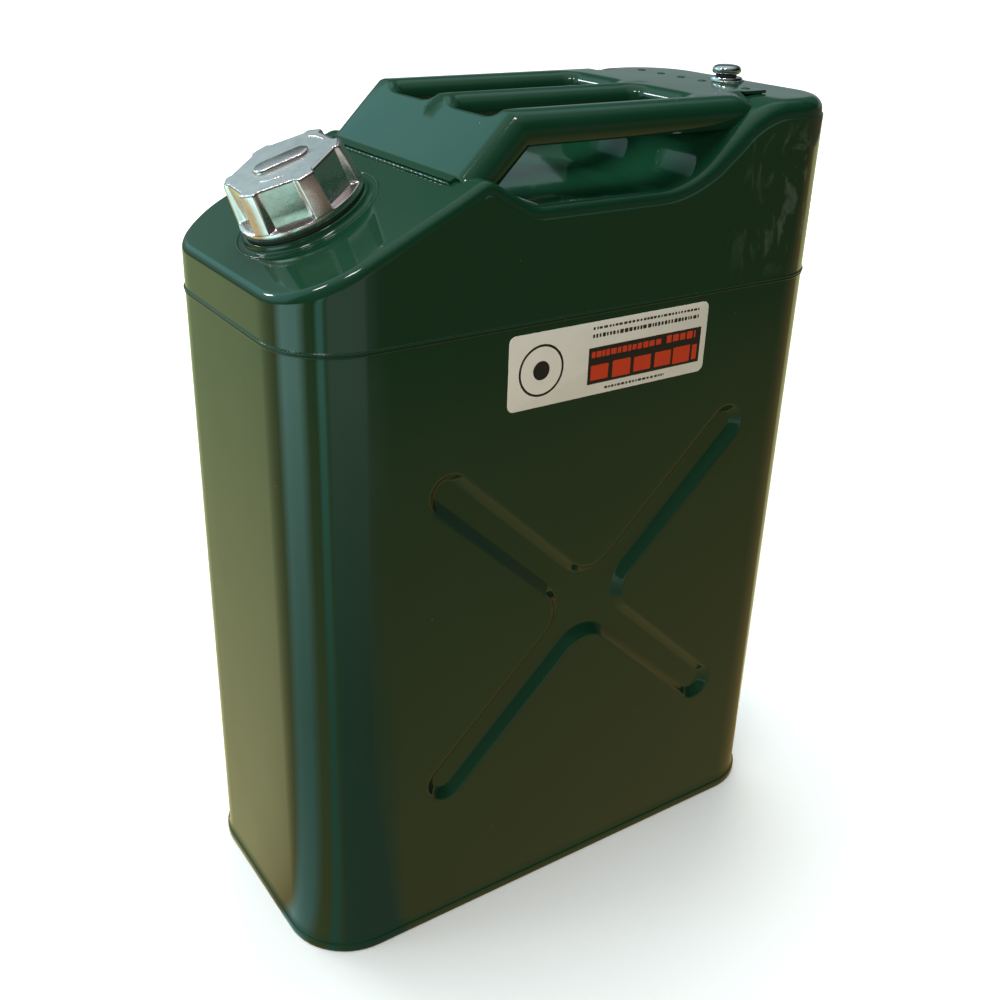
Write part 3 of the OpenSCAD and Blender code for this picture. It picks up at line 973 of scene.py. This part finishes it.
def slot_border(path, side):
    """(s, y) on the rectangle round one slot, one point for each of the rolled edge's."""
    rim = [Vector((s, y)) for s, y, _ in slot_ring(path, side, 0)]
    low = Vector((path.at_x(SLOT_X[0]) - SLOT_FRONT_R - 3, 0.5))
    high = Vector((path.at_x(SLOT_X[1]) + SLOT_REAR_R + 6, HANDLE_HALF_W - FOLD_R))
    inner_low, inner_high = outline_box(rim)
    border = []
    for point in rim:
        to_end = min(point.x - inner_low.x, inner_high.x - point.x)
        to_side = min(point.y - inner_low.y, inner_high.y - point.y)
        if to_end < to_side:
            border.append(Vector((low.x if point.x < (low.x + high.x) / 2 else high.x, point.y)))
        else:
            border.append(Vector((point.x, low.y if point.y < (low.y + high.y) / 2 else high.y)))
    snap_to_corners(border, low, high)
    rear = [i for i, point in enumerate(border) if abs(point.x - high.x) < 1e-6]
    nearest = min(rear, key=lambda i: abs(border[i].y - LAP_HALF_W))
    border[nearest].y = LAP_HALF_W
    return border


def outline_box(outline):
    """Lowest and highest corner of a flat outline."""
    xs, ys = [p.x for p in outline], [p.y for p in outline]
    return Vector((min(xs), min(ys))), Vector((max(xs), max(ys)))


def slot_rings(path, side, border):
    """Rings of points from a slot's wall, over its rolled edge, to its border in the plate."""
    wall = slot_ring(path, side, math.pi / 2)
    rings = []
    for depth in (SLOT_WALL_H + 1.5, SLOT_WALL_H + 1):
        rings.append([path.surface(s, side * y, depth) for s, y, _ in wall])
    for turn in steps(math.pi / 2, 0, 9):
        rings.append([path.surface(s, side * y, depth) for s, y, depth in slot_ring(path, side, turn)])
    return rings + [[path.surface(p.x, side * p.y) for p in border]]


def handle():
    """The three-bar pressing: a folded plate, rolled slot edges and rolled sides."""
    path = HandlePath()
    shape = Shape()
    borders = {side: slot_border(path, side) for side in (-1, 1)}
    low, high = outline_box(borders[1])
    for side, border in borders.items():
        shape.patch(slot_rings(path, side, border), wrap_columns=True)
    strip = [path.surface(s, low.y) for s in on_level(borders[1], 1, low.y)] + [path.surface(high.x, 0)]
    strip += [path.surface(s, -low.y) for s in reversed(on_level(borders[-1], 1, low.y))]
    shape.polygon(strip + [path.surface(low.x, 0)])

    def plate(places, level, reach):
        """Rows across the plate, with the same points as the slots' borders have at one level."""
        left, right = (on_level(borders[side], 0, level) for side in (-1, 1))
        levels = [-y for y in reversed(left)] + [0] + right
        shape.patch([[path.surface(s, y) for y in levels if abs(y) <= reach] for s in places])

    bend = [path.bend_s + d for d in (-1.0, -0.5, 0, 0.5, 1.0)]
    front = [0, path.bend_s / 2] + bend + steps(path.bend_s + 1.0, low.x, 5)[1:]
    bar_end = path.at_x(BAR_END_X)
    behind = steps(high.x, bar_end, 5)
    plate(front, low.x, HANDLE_HALF_W)
    plate(behind, high.x, HANDLE_HALF_W)
    plate(steps(bar_end, path.end_s, 4), high.x, LAP_HALF_W)
    for side, border in borders.items():
        places = [s for s in front if s >= path.bend_s - 1.01] + on_level(border, 1, high.y) + behind
        rolled_side(shape, path, side, sorted({round(s, 6) for s in places}))
    make_piece(
        "handle_pressing", shape, "can", "handle", "green_enamel", enamel, sharp=50, thickness=HANDLE_T
    )


def rolled_side(shape, path, side, places):
    """An outer bar's side, rolled under, down to where it meets the upper shell."""
    folds = [(FOLD_R * math.sin(turn), FOLD_R * (1 - math.cos(turn))) for turn in steps(0, FOLD_END, 12)]
    fold_y = HANDLE_HALF_W - FOLD_R
    for first, second in zip(places, places[1:]):
        for upper, lower in zip(folds, folds[1:]):
            corners = ((first, *upper), (second, *upper), (second, *lower), (first, *lower))
            quad = [path.surface(s, side * (fold_y + out), depth) for s, out, depth in corners]
            if any(p.z > top_at(p.x) - 3 for p in quad):
                shape.polygon(quad)


def handle_welds():
    """Fillet welds at the handle's foot and rear lap, and the spot welds along the lap."""
    rng = random.Random(12)
    down_slope = Vector((-math.cos(SHOULDER_ANGLE), 0, -math.sin(SHOULDER_ANGLE)))
    off_slope = Vector((-math.sin(SHOULDER_ANGLE), 0, math.cos(SHOULDER_ANGLE)))
    foot, rear = Vector((FOOT_X, 0, shoulder_at(FOOT_X))), Vector((LAP_X, 0, DECK_Z))
    runs = [
        ("handle_foot_bead", "handle_foot_weld", foot, down_slope, off_slope, 1.2, 90),
        ("handle_rear_bead", "handle_rear_weld", rear, Vector((1, 0, 0)), Vector((0, 0, 1)), 1.25, 80),
    ]
    for name, node, start, side, up, radius, count in runs:
        half = box_mm(node)[1].y
        path = [(start + Vector((0, y, 0)), side, up) for y in steps(-half, half, count)]
        shape = Shape()
        shape.patch(bead(path, radius, rng, 6, math.pi * 0.6))
        make_piece(name, shape, "can", node, "enamel_weld", enamel_weld, sharp=60)

    shape = Shape()
    low, high = box_mm("handle_spot_welds")
    radius = (high.x - low.x) / 2
    rings = [(1.0, 0.0), (0.92, 0.3), (0.78, 0.34), (0.62, 0.22), (0.3, 0.14), (0.0, 0.12)]
    for y in steps(low.y + radius, high.y - radius, 5):
        centre = Vector((low.x + radius, y, low.z))
        outline = [(radius * (1 + 0.04 * math.sin(3 * a + y)), a) for a in steps(0, TAU, 20)[:-1]]
        rows = [[centre + polar(r * scale, a, rise) for r, a in outline] for scale, rise in rings]
        shape.patch(rows, wrap_columns=True)
    make_piece("handle_spot_marks", shape, "can", "handle_spot_welds", "enamel_weld", enamel_weld, sharp=60)


# -------- filler and cap


def revolved(profile, count=96):
    """Rows of a profile of (radius, z) points turned about Z."""
    turns = steps(0, TAU, count)[:-1]
    return [[polar(radius, a, z) for a in turns] for radius, z in profile]


def turned_piece(name, profile, count, place, body, node, slot, material, sharp=40):
    """Makes a piece that is one profile turned about the Z axis of a place."""
    shape = Shape()
    shape.patch(revolved(profile, count), wrap_columns=True)
    make_piece(name, shape.transform(place), body, node, slot, material, sharp=sharp)


def thread_rows(root_r, crest_r, low, high, count=72):
    """Rows of a helical thread between two heights, flattened into its ends."""
    per_turn = [(0.0, root_r), (0.25, root_r), (0.42, crest_r), (0.58, crest_r), (0.75, root_r)]
    turns = math.ceil((high - low) / THREAD_PITCH) + 2
    levels = [((k + share) * THREAD_PITCH, r) for k in range(-1, turns) for share, r in per_turn]
    rows = []
    for turn in steps(0, TAU, count):
        row = []
        for level, r in levels:
            z = low + level - THREAD_PITCH * turn / TAU
            inside = min(smooth(low, low + 0.8, z), 1 - smooth(high - 0.8, high, z))
            radius = root_r + (r - root_r) * inside
            row.append(polar(radius, turn, min(high, max(low, z))))
        rows.append(row)
    return rows


def filler():
    """Collar, weld, threaded neck and packing of the filler."""
    place, top = FILLER_FRAME, COLLAR_H
    profile = [(NECK_R + 0.05, 0.0), (NECK_R + 0.05, top - 0.3), (NECK_R + 0.4, top)]
    profile += [(COLLAR_TOP_R - 0.8, top), (COLLAR_TOP_R - 0.2, top - 0.25), (COLLAR_TOP_R, top - 0.8)]
    cove = Vector((COLLAR_TOP_R + COVE_R, COVE_R - 0.25))
    profile += [cove + polar(COVE_R, a) for a in steps(math.pi * 1.05, math.pi * 1.45, 6)]
    profile += [(COLLAR_BASE_R - 0.3, 0.12), (COLLAR_BASE_R, 0.0)]
    turned_piece("filler_collar", profile, 96, place, "can", "neck_collar", "green_enamel", enamel, 50)

    rng = random.Random(21)
    phase = rng.uniform(0, TAU)
    shape = Shape()
    shape.patch(ring_bead(COLLAR_BASE_R + 0.2, 150, 1.9, phase, 0.05, 0.75, rng), wrap_rows=True)
    shape.transform(place)
    make_piece("filler_weld_bead", shape, "can", "neck_weld", "enamel_weld", enamel_weld, sharp=60)

    outer = [(BORE_R + 0.6, -10.3), (27.8, -10.3), (NECK_R, -9.9), (NECK_R, top - 0.4), (NECK_R - 0.4, top)]
    outer += [(THREAD_ROOT_R, top), (BORE_R + 0.6, top - 0.25), (THREAD_ROOT_R, top - 1.0)]
    shape = Shape()
    shape.patch(revolved(outer, 72), wrap_columns=True)
    shape.patch(thread_rows(THREAD_ROOT_R, BORE_R, -9.4, top - 1.0))
    shape.patch(revolved([(THREAD_ROOT_R, -9.4), outer[0]], 72), wrap_columns=True)
    shape.transform(place)
    make_piece("filler_neck_threaded", shape, "can", "filler_neck", "zinc_steel", zinc, sharp=40)

    low, high = top + 0.02, CAP_BASE - 0.02
    section = [(23.6, low + 0.2), (23.9, low), (32.0, low), (32.35, low + 0.35), (32.4, (low + high) / 2)]
    section += [(32.35, high - 0.35), (32.0, high), (23.9, high), (23.6, high - 0.2), (23.6, low + 0.2)]
    turned_piece("cap_packing_ring", section, 96, place, "cap_seal", "cap_packing", "black_rubber", rubber)


def cap_radius(turn, z, pocket, inset):
    """Radius of the cap's flank: lobes with flat-backed pockets between them."""
    lobe_r = CAP_FLANGE_R
    if z > CAP_FLANGE_TOP - 1:
        share = (z - CAP_FLANGE_TOP + 1) / (CAP_TOP - CAP_FLANGE_TOP + 1)
        lobe_r += (CAP_TOP_R - CAP_FLANGE_R) * share
    pitch = TAU / CAP_LOBES
    from_pocket = abs((turn - LOBE_ANGLE) % pitch - pitch / 2)
    open_share = 1 - smooth(math.radians(18.6), math.radians(22.4), from_pocket)
    back = POCKET_R / math.cos(min(from_pocket, math.radians(22)))
    return lobe_r - inset + (min(back, lobe_r) - lobe_r) * open_share * pocket


def cap_turns():
    """Angles of the cap's columns: close together where a pocket's side rises."""
    pitch = math.degrees(TAU / CAP_LOBES)
    local = [0, 5, 10, 15, 17.5, 18.6, 19.4, 20.2, 20.9, 21.6, 22.4, 23.2, 26.5, 30]
    one = [-v for v in reversed(local)][:-1] + local[:-1]
    first = math.degrees(LOBE_ANGLE) + pitch / 2
    return [math.radians(first + pitch * k + v) for k in range(CAP_LOBES) for v in one]


def cap():
    """The die-cast cap: polished lobed flank, satin top with a raised grip bar, threaded plug."""
    turns = cap_turns()
    shape = Shape()
    ledge = CAP_FLANGE_TOP
    levels = [
        (CAP_BASE, 0, 0.6), (CAP_BASE + 0.2, 0, 0.15), (CAP_BASE + 0.6, 0, 0), (ledge - 0.9, 0, 0),
        (ledge - 0.35, 0, 0.12), (ledge - 0.05, 0.10, 0.1), (ledge + 0.12, 0.45, 0), (ledge + 0.3, 0.80, 0),
        (ledge + 0.65, 0.95, 0), (ledge + 1.3, 1, 0), (ledge + 6, 1, 0), (ledge + 14, 1, 0),
        (CAP_TOP - 1.6, 1, 0), (CAP_TOP - 0.9, 1, 0.1), (CAP_TOP - 0.4, 1, 0.38), (CAP_TOP - 0.1, 1, 0.85),
        (CAP_TOP, 1, 1.5),
    ]
    rings = [[polar(cap_radius(a, z, pocket, inset), a, z) for a in turns] for z, pocket, inset in levels]
    shape.patch(rings, wrap_columns=True)
    top = [rings[-1]]
    for scale in (0.965, 0.85, 0.6, 0.3, 0.0):
        top.append([(x * scale, y * scale, CAP_TOP - 0.05 * (scale < 0.97)) for x, y, _ in rings[-1]])
    shape.patch(top, paint=1, wrap_columns=True)

    bar = Shape()
    outline = []
    for sign in (1, -1):
        centre = Vector((GRIP_BAR.x - GRIP_BAR.y, 0)) / 2
        outline += [(centre + polar(GRIP_BAR.y / 2, a)) * sign for a in steps(-math.pi / 2, math.pi / 2, 12)]
    bar.slab(outline, CAP_TOP - 1.0, CAP_TOP + 1.8, edge=1.6)
    shape.add(bar.transform(Matrix.Rotation(GRIP_BAR_ANGLE, 4, "Z")))
    for radius, first, last in ((18.0, -157, -112), (23.5, -11, 25)):
        shape.patch(raised_line(radius, math.radians(first), math.radians(last)))

    base = [(CAP_FLANGE_R - 0.6, 0.0), (23.6, 0.0), (PLUG_R, 0.2), (PLUG_R, 0.9)]
    shape.patch([[polar(r, a, CAP_BASE - drop) for a in turns] for r, drop in base], wrap_columns=True)
    shape.patch(thread_rows(PLUG_R, 22.55, -5.6, CAP_BASE - 0.9))
    plug = [(PLUG_R, -5.6), (20.8, -6.0), (19.0, -6.0), (18.5, -5.6), (18.5, 24.5), (16.5, 26.4), (0.0, 26.4)]
    shape.patch(revolved(plug, 72), wrap_columns=True)
    shape.transform(FILLER_FRAME)
    make_piece("screw_cap", shape, "cap", "cap", "cast_aluminium", aluminium, satin, sharp=32)


def raised_line(radius, first, last, width=1.5, height=0.45):
    """Rows of a rounded line that stands proud of the cap's top."""
    rows = []
    count = 14
    for i, turn in enumerate(steps(first, last, count)):
        taper = min(1.0, 0.25 + i * 0.5, 0.25 + (count - i) * 0.5)
        section = [polar(taper, a) for a in steps(0, math.pi, 6)]
        places = [(radius + width / 2 * p.x, CAP_TOP - 0.1 + (height + 0.1) * p.y) for p in section]
        rows.append([polar(r, turn, z) for r, z in places])
    return rows


# -------- vent


def vent():
    """Boss, weld, packing and mushroom screw of the air vent."""
    place = VENT_FRAME
    boss_h, base = (corner.z - DECK_Z for corner in box_mm("vent_packing"))
    top = box_mm("vent_screw")[1].z - DECK_Z
    knob_h = top - base
    profile = [(3.0, -8.0), (VENT_NECK_R, -8.0), (VENT_NECK_R, 0.0), (10.0, 0.0), (9.85, 1.2), (9.3, 2.0)]
    profile += [(8.6, boss_h), (3.4, boss_h), (3.0, boss_h - 0.4), (3.0, -8.0)]
    turned_piece("vent_boss_turned", profile, 64, place, "can", "vent_boss", "bright_plating", plating)

    shape = Shape()
    shape.patch(ring_bead(10.15, 56, 1.8, 0.0, 0.06, 0.85, random.Random(31)), wrap_rows=True)
    shape.transform(place)
    make_piece("vent_weld_bead", shape, "can", "vent_weld", "zinc_steel", zinc, sharp=60)

    low, high = boss_h + 0.02, base - 0.02
    section = [(3.1, low), (5.8, low), (6.15, low + 0.3), (6.2, (low + high) / 2), (6.15, high - 0.3)]
    section += [(5.8, high), (3.1, high), (3.1, low)]
    turned_piece("vent_packing_ring", section, 48, place, "vent_seal", "vent_packing", "black_rubber", rubber)

    profile = [(0, base - 14), (2.2, base - 14), (2.7, base - 13.5), (2.7, base), (7.5, base + 0.02)]
    crown = [(8.5, 0.2), (8.5, 0.42), (8.2, 0.62), (7.4, 0.8), (6.0, 0.92)]
    profile += [(8.15, base + 0.35)] + [(radius, base + share * knob_h) for radius, share in crown]
    profile += [(4.0, top - 0.12), (2.0, top - 0.02), (0, top)]
    turned_piece("vent_knob", profile, 64, place, "vent_screw", "vent_screw", "bright_plating", plating)


# -------- label


def side_label():
    """A printed label with plain blocks, a ring and dashes in place of any lettering."""
    low, high = box_mm("side_label")
    width, height, thick = high.x - low.x, high.z - low.z, 0.26
    shape = Shape()
    shape.slab(rounded_outline(0, 0, width, height, 4.0), 0.0, thick, edge=0.08)
    ink = thick + 0.015
    flat_ring(shape, -width / 2 + 20.5, -0.5, 14.2, 12.9, ink, 1)
    flat_ring(shape, -width / 2 + 20.5, -0.5, 5.2, 0.0, ink, 1)
    panel_x, panel_w = 13.0 + 10.5, 79.0
    block(shape, panel_x, -4.0, panel_w, 20.5, ink, 1)
    rng = random.Random(3)
    left = panel_x - panel_w / 2 + 2.0
    dashes(shape, rng, left, left + 48, 2.2, 3.6, (2.0, 4.2), 0.7, ink + 0.012, 2)
    dashes(shape, rng, left + 52, left + 73, 2.6, 4.4, (3.0, 5.0), 1.0, ink + 0.012, 2)
    dashes(shape, rng, left, left + 75, -8.0, 9.6, (10.5, 12.5), 2.2, ink + 0.012, 2)
    for y, tall in ((16.8, 1.5), (12.6, 2.3), (-17.6, 1.4)):
        first, last = (left, left + 74) if y > 0 else (left + 10, left + 52)
        dashes(shape, rng, first, last, y, tall, (1.0, 2.6), 0.7, ink, 1)
    middle = (low + high) / 2
    middle.y = high.y
    shape.transform(Matrix.Translation(middle) @ Matrix.Rotation(math.pi / 2, 4, "X"))
    inks = (paper, black_ink, red_ink)
    make_piece("side_label_print", shape, "can", "side_label", "label_vinyl", *inks, sharp=30)


def rounded_outline(x, y, width, height, radius, count=6):
    """A rounded rectangle about (x, y), counterclockwise."""
    outline = []
    corners = [(1, -1), (1, 1), (-1, 1), (-1, -1)]
    for quarter, (sx, sy) in enumerate(corners):
        centre = Vector((x + sx * (width / 2 - radius), y + sy * (height / 2 - radius)))
        turns = steps((quarter - 1) * math.pi / 2, quarter * math.pi / 2, count)
        outline += [centre + polar(radius, turn) for turn in turns]
    return outline


def block(shape, x, y, width, height, z, paint):
    """A printed block: a thin slab of ink."""
    shape.slab(rounded_outline(x, y, width, height, min(0.35, height / 4), 2), z - 0.05, z, paint)


def flat_ring(shape, x, y, outer, inner, z, paint):
    """A printed ring or disc."""
    rows = []
    centre = Vector((x, y, 0))
    for radius, height in ((outer, z - 0.05), (outer, z), (inner, z), (inner, z - 0.05)):
        rows.append([centre + polar(radius, a, height) for a in steps(0, TAU, 48)[:-1]])
    shape.patch(rows, paint, wrap_columns=True)


def dashes(shape, rng, first, last, y, height, widths, gap, z, paint):
    """A row of plain printed dashes between two places."""
    x = first
    while x < last:
        width = min(rng.uniform(*widths), last - x)
        if width > 0.6:
            block(shape, x + width / 2, y, width, height * rng.uniform(0.85, 1.0), z, paint)
        x += width + gap * rng.uniform(0.7, 1.4)


# -------- stage


def camera():
    """The photograph's viewpoint: a wide lens close to the can, slightly rolled."""
    data = bpy.data.cameras.new("camera")
    data.sensor_width = 36
    data.lens = 42.88
    data.shift_x = 0.005
    data.shift_y = -0.0159
    data.clip_start, data.clip_end = 0.05, 50
    view = bpy.data.objects.new("camera", data)
    yaw, pitch, roll = (math.radians(v) for v in (55.547, -25.56, 1.878))
    forward = Vector((math.cos(yaw) * math.cos(pitch), math.sin(yaw) * math.cos(pitch), math.sin(pitch)))
    right = Vector((math.sin(yaw), -math.cos(yaw), 0))
    up = right.cross(forward)
    right, up = right * math.cos(roll) + up * math.sin(roll), up * math.cos(roll) - right * math.sin(roll)
    turn = Matrix((right, up, -forward)).transposed().to_4x4()
    view.matrix_world = Matrix.Translation((-0.3798, -0.54593, 0.55399)) @ turn
    bpy.context.scene.collection.objects.link(view)
    bpy.context.scene.camera = view


def area_light(name, place, target, size, power, colour):
    """A soft rectangular lamp that faces a target."""
    data = bpy.data.lights.new(name, "AREA")
    data.shape = "RECTANGLE"
    data.size, data.size_y = size
    data.energy = power
    data.color = colour
    lamp = bpy.data.objects.new(name, data)
    lamp.location = place
    lamp.rotation_mode = "QUATERNION"
    lamp.rotation_quaternion = (Vector(target) - Vector(place)).to_track_quat("-Z", "Y")
    bpy.context.scene.collection.objects.link(lamp)
    return lamp


# Screens mirrored by the can's near corner: first and last bearing and softness, in degrees from -X
# towards +Y, and light.
SCREENS = [
    (-12, 12, 15, (1.30, 2.3, 2.15)),
    (-50, -44, 5, (0.55, 1.3, 1.15)),
    (-110, -60, 8, (0.52, 0.60, 0.54)),
]


def stage_sheet(name, half, height, material):
    """A square sheet that isn't part of the object."""
    mesh = bpy.data.meshes.new(name)
    corners = [(-half, -half, 0), (half, -half, 0), (half, half, 0), (-half, half, 0)]
    mesh.from_pydata(corners, [], [(0, 1, 2, 3)])
    mesh.materials.append(material)
    sheet = bpy.data.objects.new(name, mesh)
    sheet.location.z = height
    bpy.context.scene.collection.objects.link(sheet)
    return sheet


def floor():
    """A plain pale floor, which glows a little more the farther it is from the can."""
    paint = Paint("floor_pale", Specular_IOR_Level=0.0, Emission_Color=(1, 1, 1, 1))
    away = paint.node("VectorMath", operation="LENGTH")
    paint.link(paint.place, away.inputs[0])
    glow = paint.remap(away.outputs["Value"], 0.5, 2.2, 0.12, 1.0)
    paint.link(glow, paint.shader.inputs["Emission Strength"])
    tone = paint.blend(paint.grain(0.4, detail=3), (0.68, 0.68, 0.68), (0.72, 0.72, 0.72))
    paint.finish(tone, paint.remap(paint.grain(0.1), 0.3, 0.7, 0.85, 0.95))
    sheet = stage_sheet("floor", 40, 0, paint.material)
    sheet.visible_diffuse = False
    sheet.visible_glossy = False


def reflected_floor():
    """A board just over the floor that only reflections see: a warm floor and soft pale screens."""
    paint = Paint("reflected_floor")
    paint.tree.nodes.remove(paint.shader)
    glow = paint.node("Emission")
    x, y = paint.position("X"), paint.position("Y")
    left = paint.blend(paint.remap(y, 0.0, 0.9), (0.88, 0.82, 0.40), (0.62, 0.74, 0.36))
    right = paint.blend(paint.remap(y, -1.0, -0.15), (0.13, 0.12, 0.05), (0.44, 0.32, 0.12))
    corner_x = paint.plus(x, (BODY_L / 2 - CORNER_R) * MM)
    corner_y = paint.plus(y, (BODY_W / 2 - CORNER_R) * MM)
    square = paint.plus(paint.maths("POWER", corner_x, 2.0), paint.maths("POWER", corner_y, 2.0))
    distance = paint.maths("SQRT", square)
    bearing = paint.maths("ARCTAN2", corner_y, paint.times(corner_x, -1.0))
    colour = paint.blend(paint.remap(bearing, math.radians(24), math.radians(62)), right, left)
    for first, last, soft, tone in SCREENS:
        dim = paint.blend(paint.remap(distance, 0.25, 0.95), tuple(0.38 * v for v in tone), tone)
        rise = paint.remap(bearing, math.radians(first - soft), math.radians(first))
        fall = paint.remap(bearing, math.radians(last + soft), math.radians(last))
        colour = paint.blend(paint.times(rise, fall), colour, dim)
    paint.link(colour, glow.inputs["Color"])
    paint.link(glow.outputs["Emission"], paint.tree.nodes["Material Output"].inputs["Surface"])
    sheet = stage_sheet("reflected_floor", 3, 0.0004, paint.material)
    for ray in ("camera", "diffuse", "shadow", "transmission", "volume_scatter"):
        setattr(sheet, "visible_" + ray, False)


def world():
    """What the enamel mirrors: dim warm ground, a dark side behind the camera, pale walls beyond."""
    scene = bpy.context.scene
    scene.world = bpy.data.worlds.new("studio")
    scene.world.use_nodes = True
    sky = Nodes(scene.world.node_tree)
    split = sky.node("SeparateXYZ")
    sky.link(sky.node("TexCoord").outputs["Generated"], split.inputs["Vector"])
    x, y, z = (split.outputs[axis] for axis in "XYZ")
    ground = [(0.0, (0.26, 0.20, 0.11)), (0.49, (0.16, 0.13, 0.08))]
    ceiling = [(1.0, (0.60, 0.66, 0.68))]
    walls = [(0.51, (0.26, 0.30, 0.30)), (0.58, (0.30, 0.38, 0.38)), (0.65, (0.48, 0.95, 1.02))]
    walls += [(0.78, (0.50, 0.97, 1.04)), (0.90, (0.50, 0.60, 0.62))]
    dark = [(0.52, (0.10, 0.11, 0.10)), (0.70, (0.07, 0.09, 0.08)), (0.85, (0.10, 0.14, 0.13))]
    dark += [(0.93, (0.30, 0.36, 0.36))]
    beyond = sky.ramp(z, ground + walls + ceiling)
    behind = sky.ramp(z, ground + dark + ceiling)
    colour = sky.blend(sky.ramp(y, [(0.50, (0, 0, 0)), (0.62, (1, 1, 1))]), behind, beyond)
    shade = [(0.44, (1, 1, 1)), (0.50, (0.62, 0.42, 0.40)), (0.54, (0.45, 0.30, 0.28))]
    shade += [(0.60, (0.16, 0.12, 0.11))]
    band = [(0.55, (0, 0, 0)), (0.62, (1, 1, 1)), (0.80, (1, 1, 1)), (0.88, (0, 0, 0))]
    colour = sky.blend(sky.ramp(z, band), colour, sky.ramp(x, shade), "MULTIPLY")
    sky.link(colour, sky.tree.nodes["Background"].inputs["Color"])


def stage():
    """Camera, floor, what is mirrored, and three soft lights with small lamps for the corner's glints."""
    camera()
    floor()
    reflected_floor()
    world()
    cool, warm = (0.90, 0.98, 1.0), (1.0, 0.94, 0.78)
    key = area_light("key_light", (0.0, 0.5, 2.3), (0, 0, 0.3), (1.6, 1.4), 72, cool)
    fill = area_light("fill_light", (-1.7, -1.8, 0.9), (0, 0, 0.25), (1.2, 1.2), 46, warm)
    rear_fill = area_light("rear_fill_light", (1.9, 1.7, 1.0), (0, 0, 0.25), (1.2, 1.2), 22, warm)
    for lamp in (key, fill, rear_fill):
        lamp.visible_glossy = False
    front_corner = (-0.165, -0.067, 0.39)
    lamps = [((-1.36, 0.42, 2.3), 0.34), ((-0.75, -0.41, 2.3), 0.5), ((-0.87, 1.53, 1.35), 0.24)]
    for place, length in lamps:
        area_light("ceiling_lamp", place, front_corner, (length, 0.22), 15 * length, (1, 1, 1))
    scene = bpy.context.scene
    scene.view_settings.view_transform = "Standard"
    scene.view_settings.look = "None"


# -------- the can

stage()
lower_body()
bottom_pan()
girth_weld()
body_seam()
upper_shell()
handle()
handle_welds()
filler()
cap()
vent()
side_label()
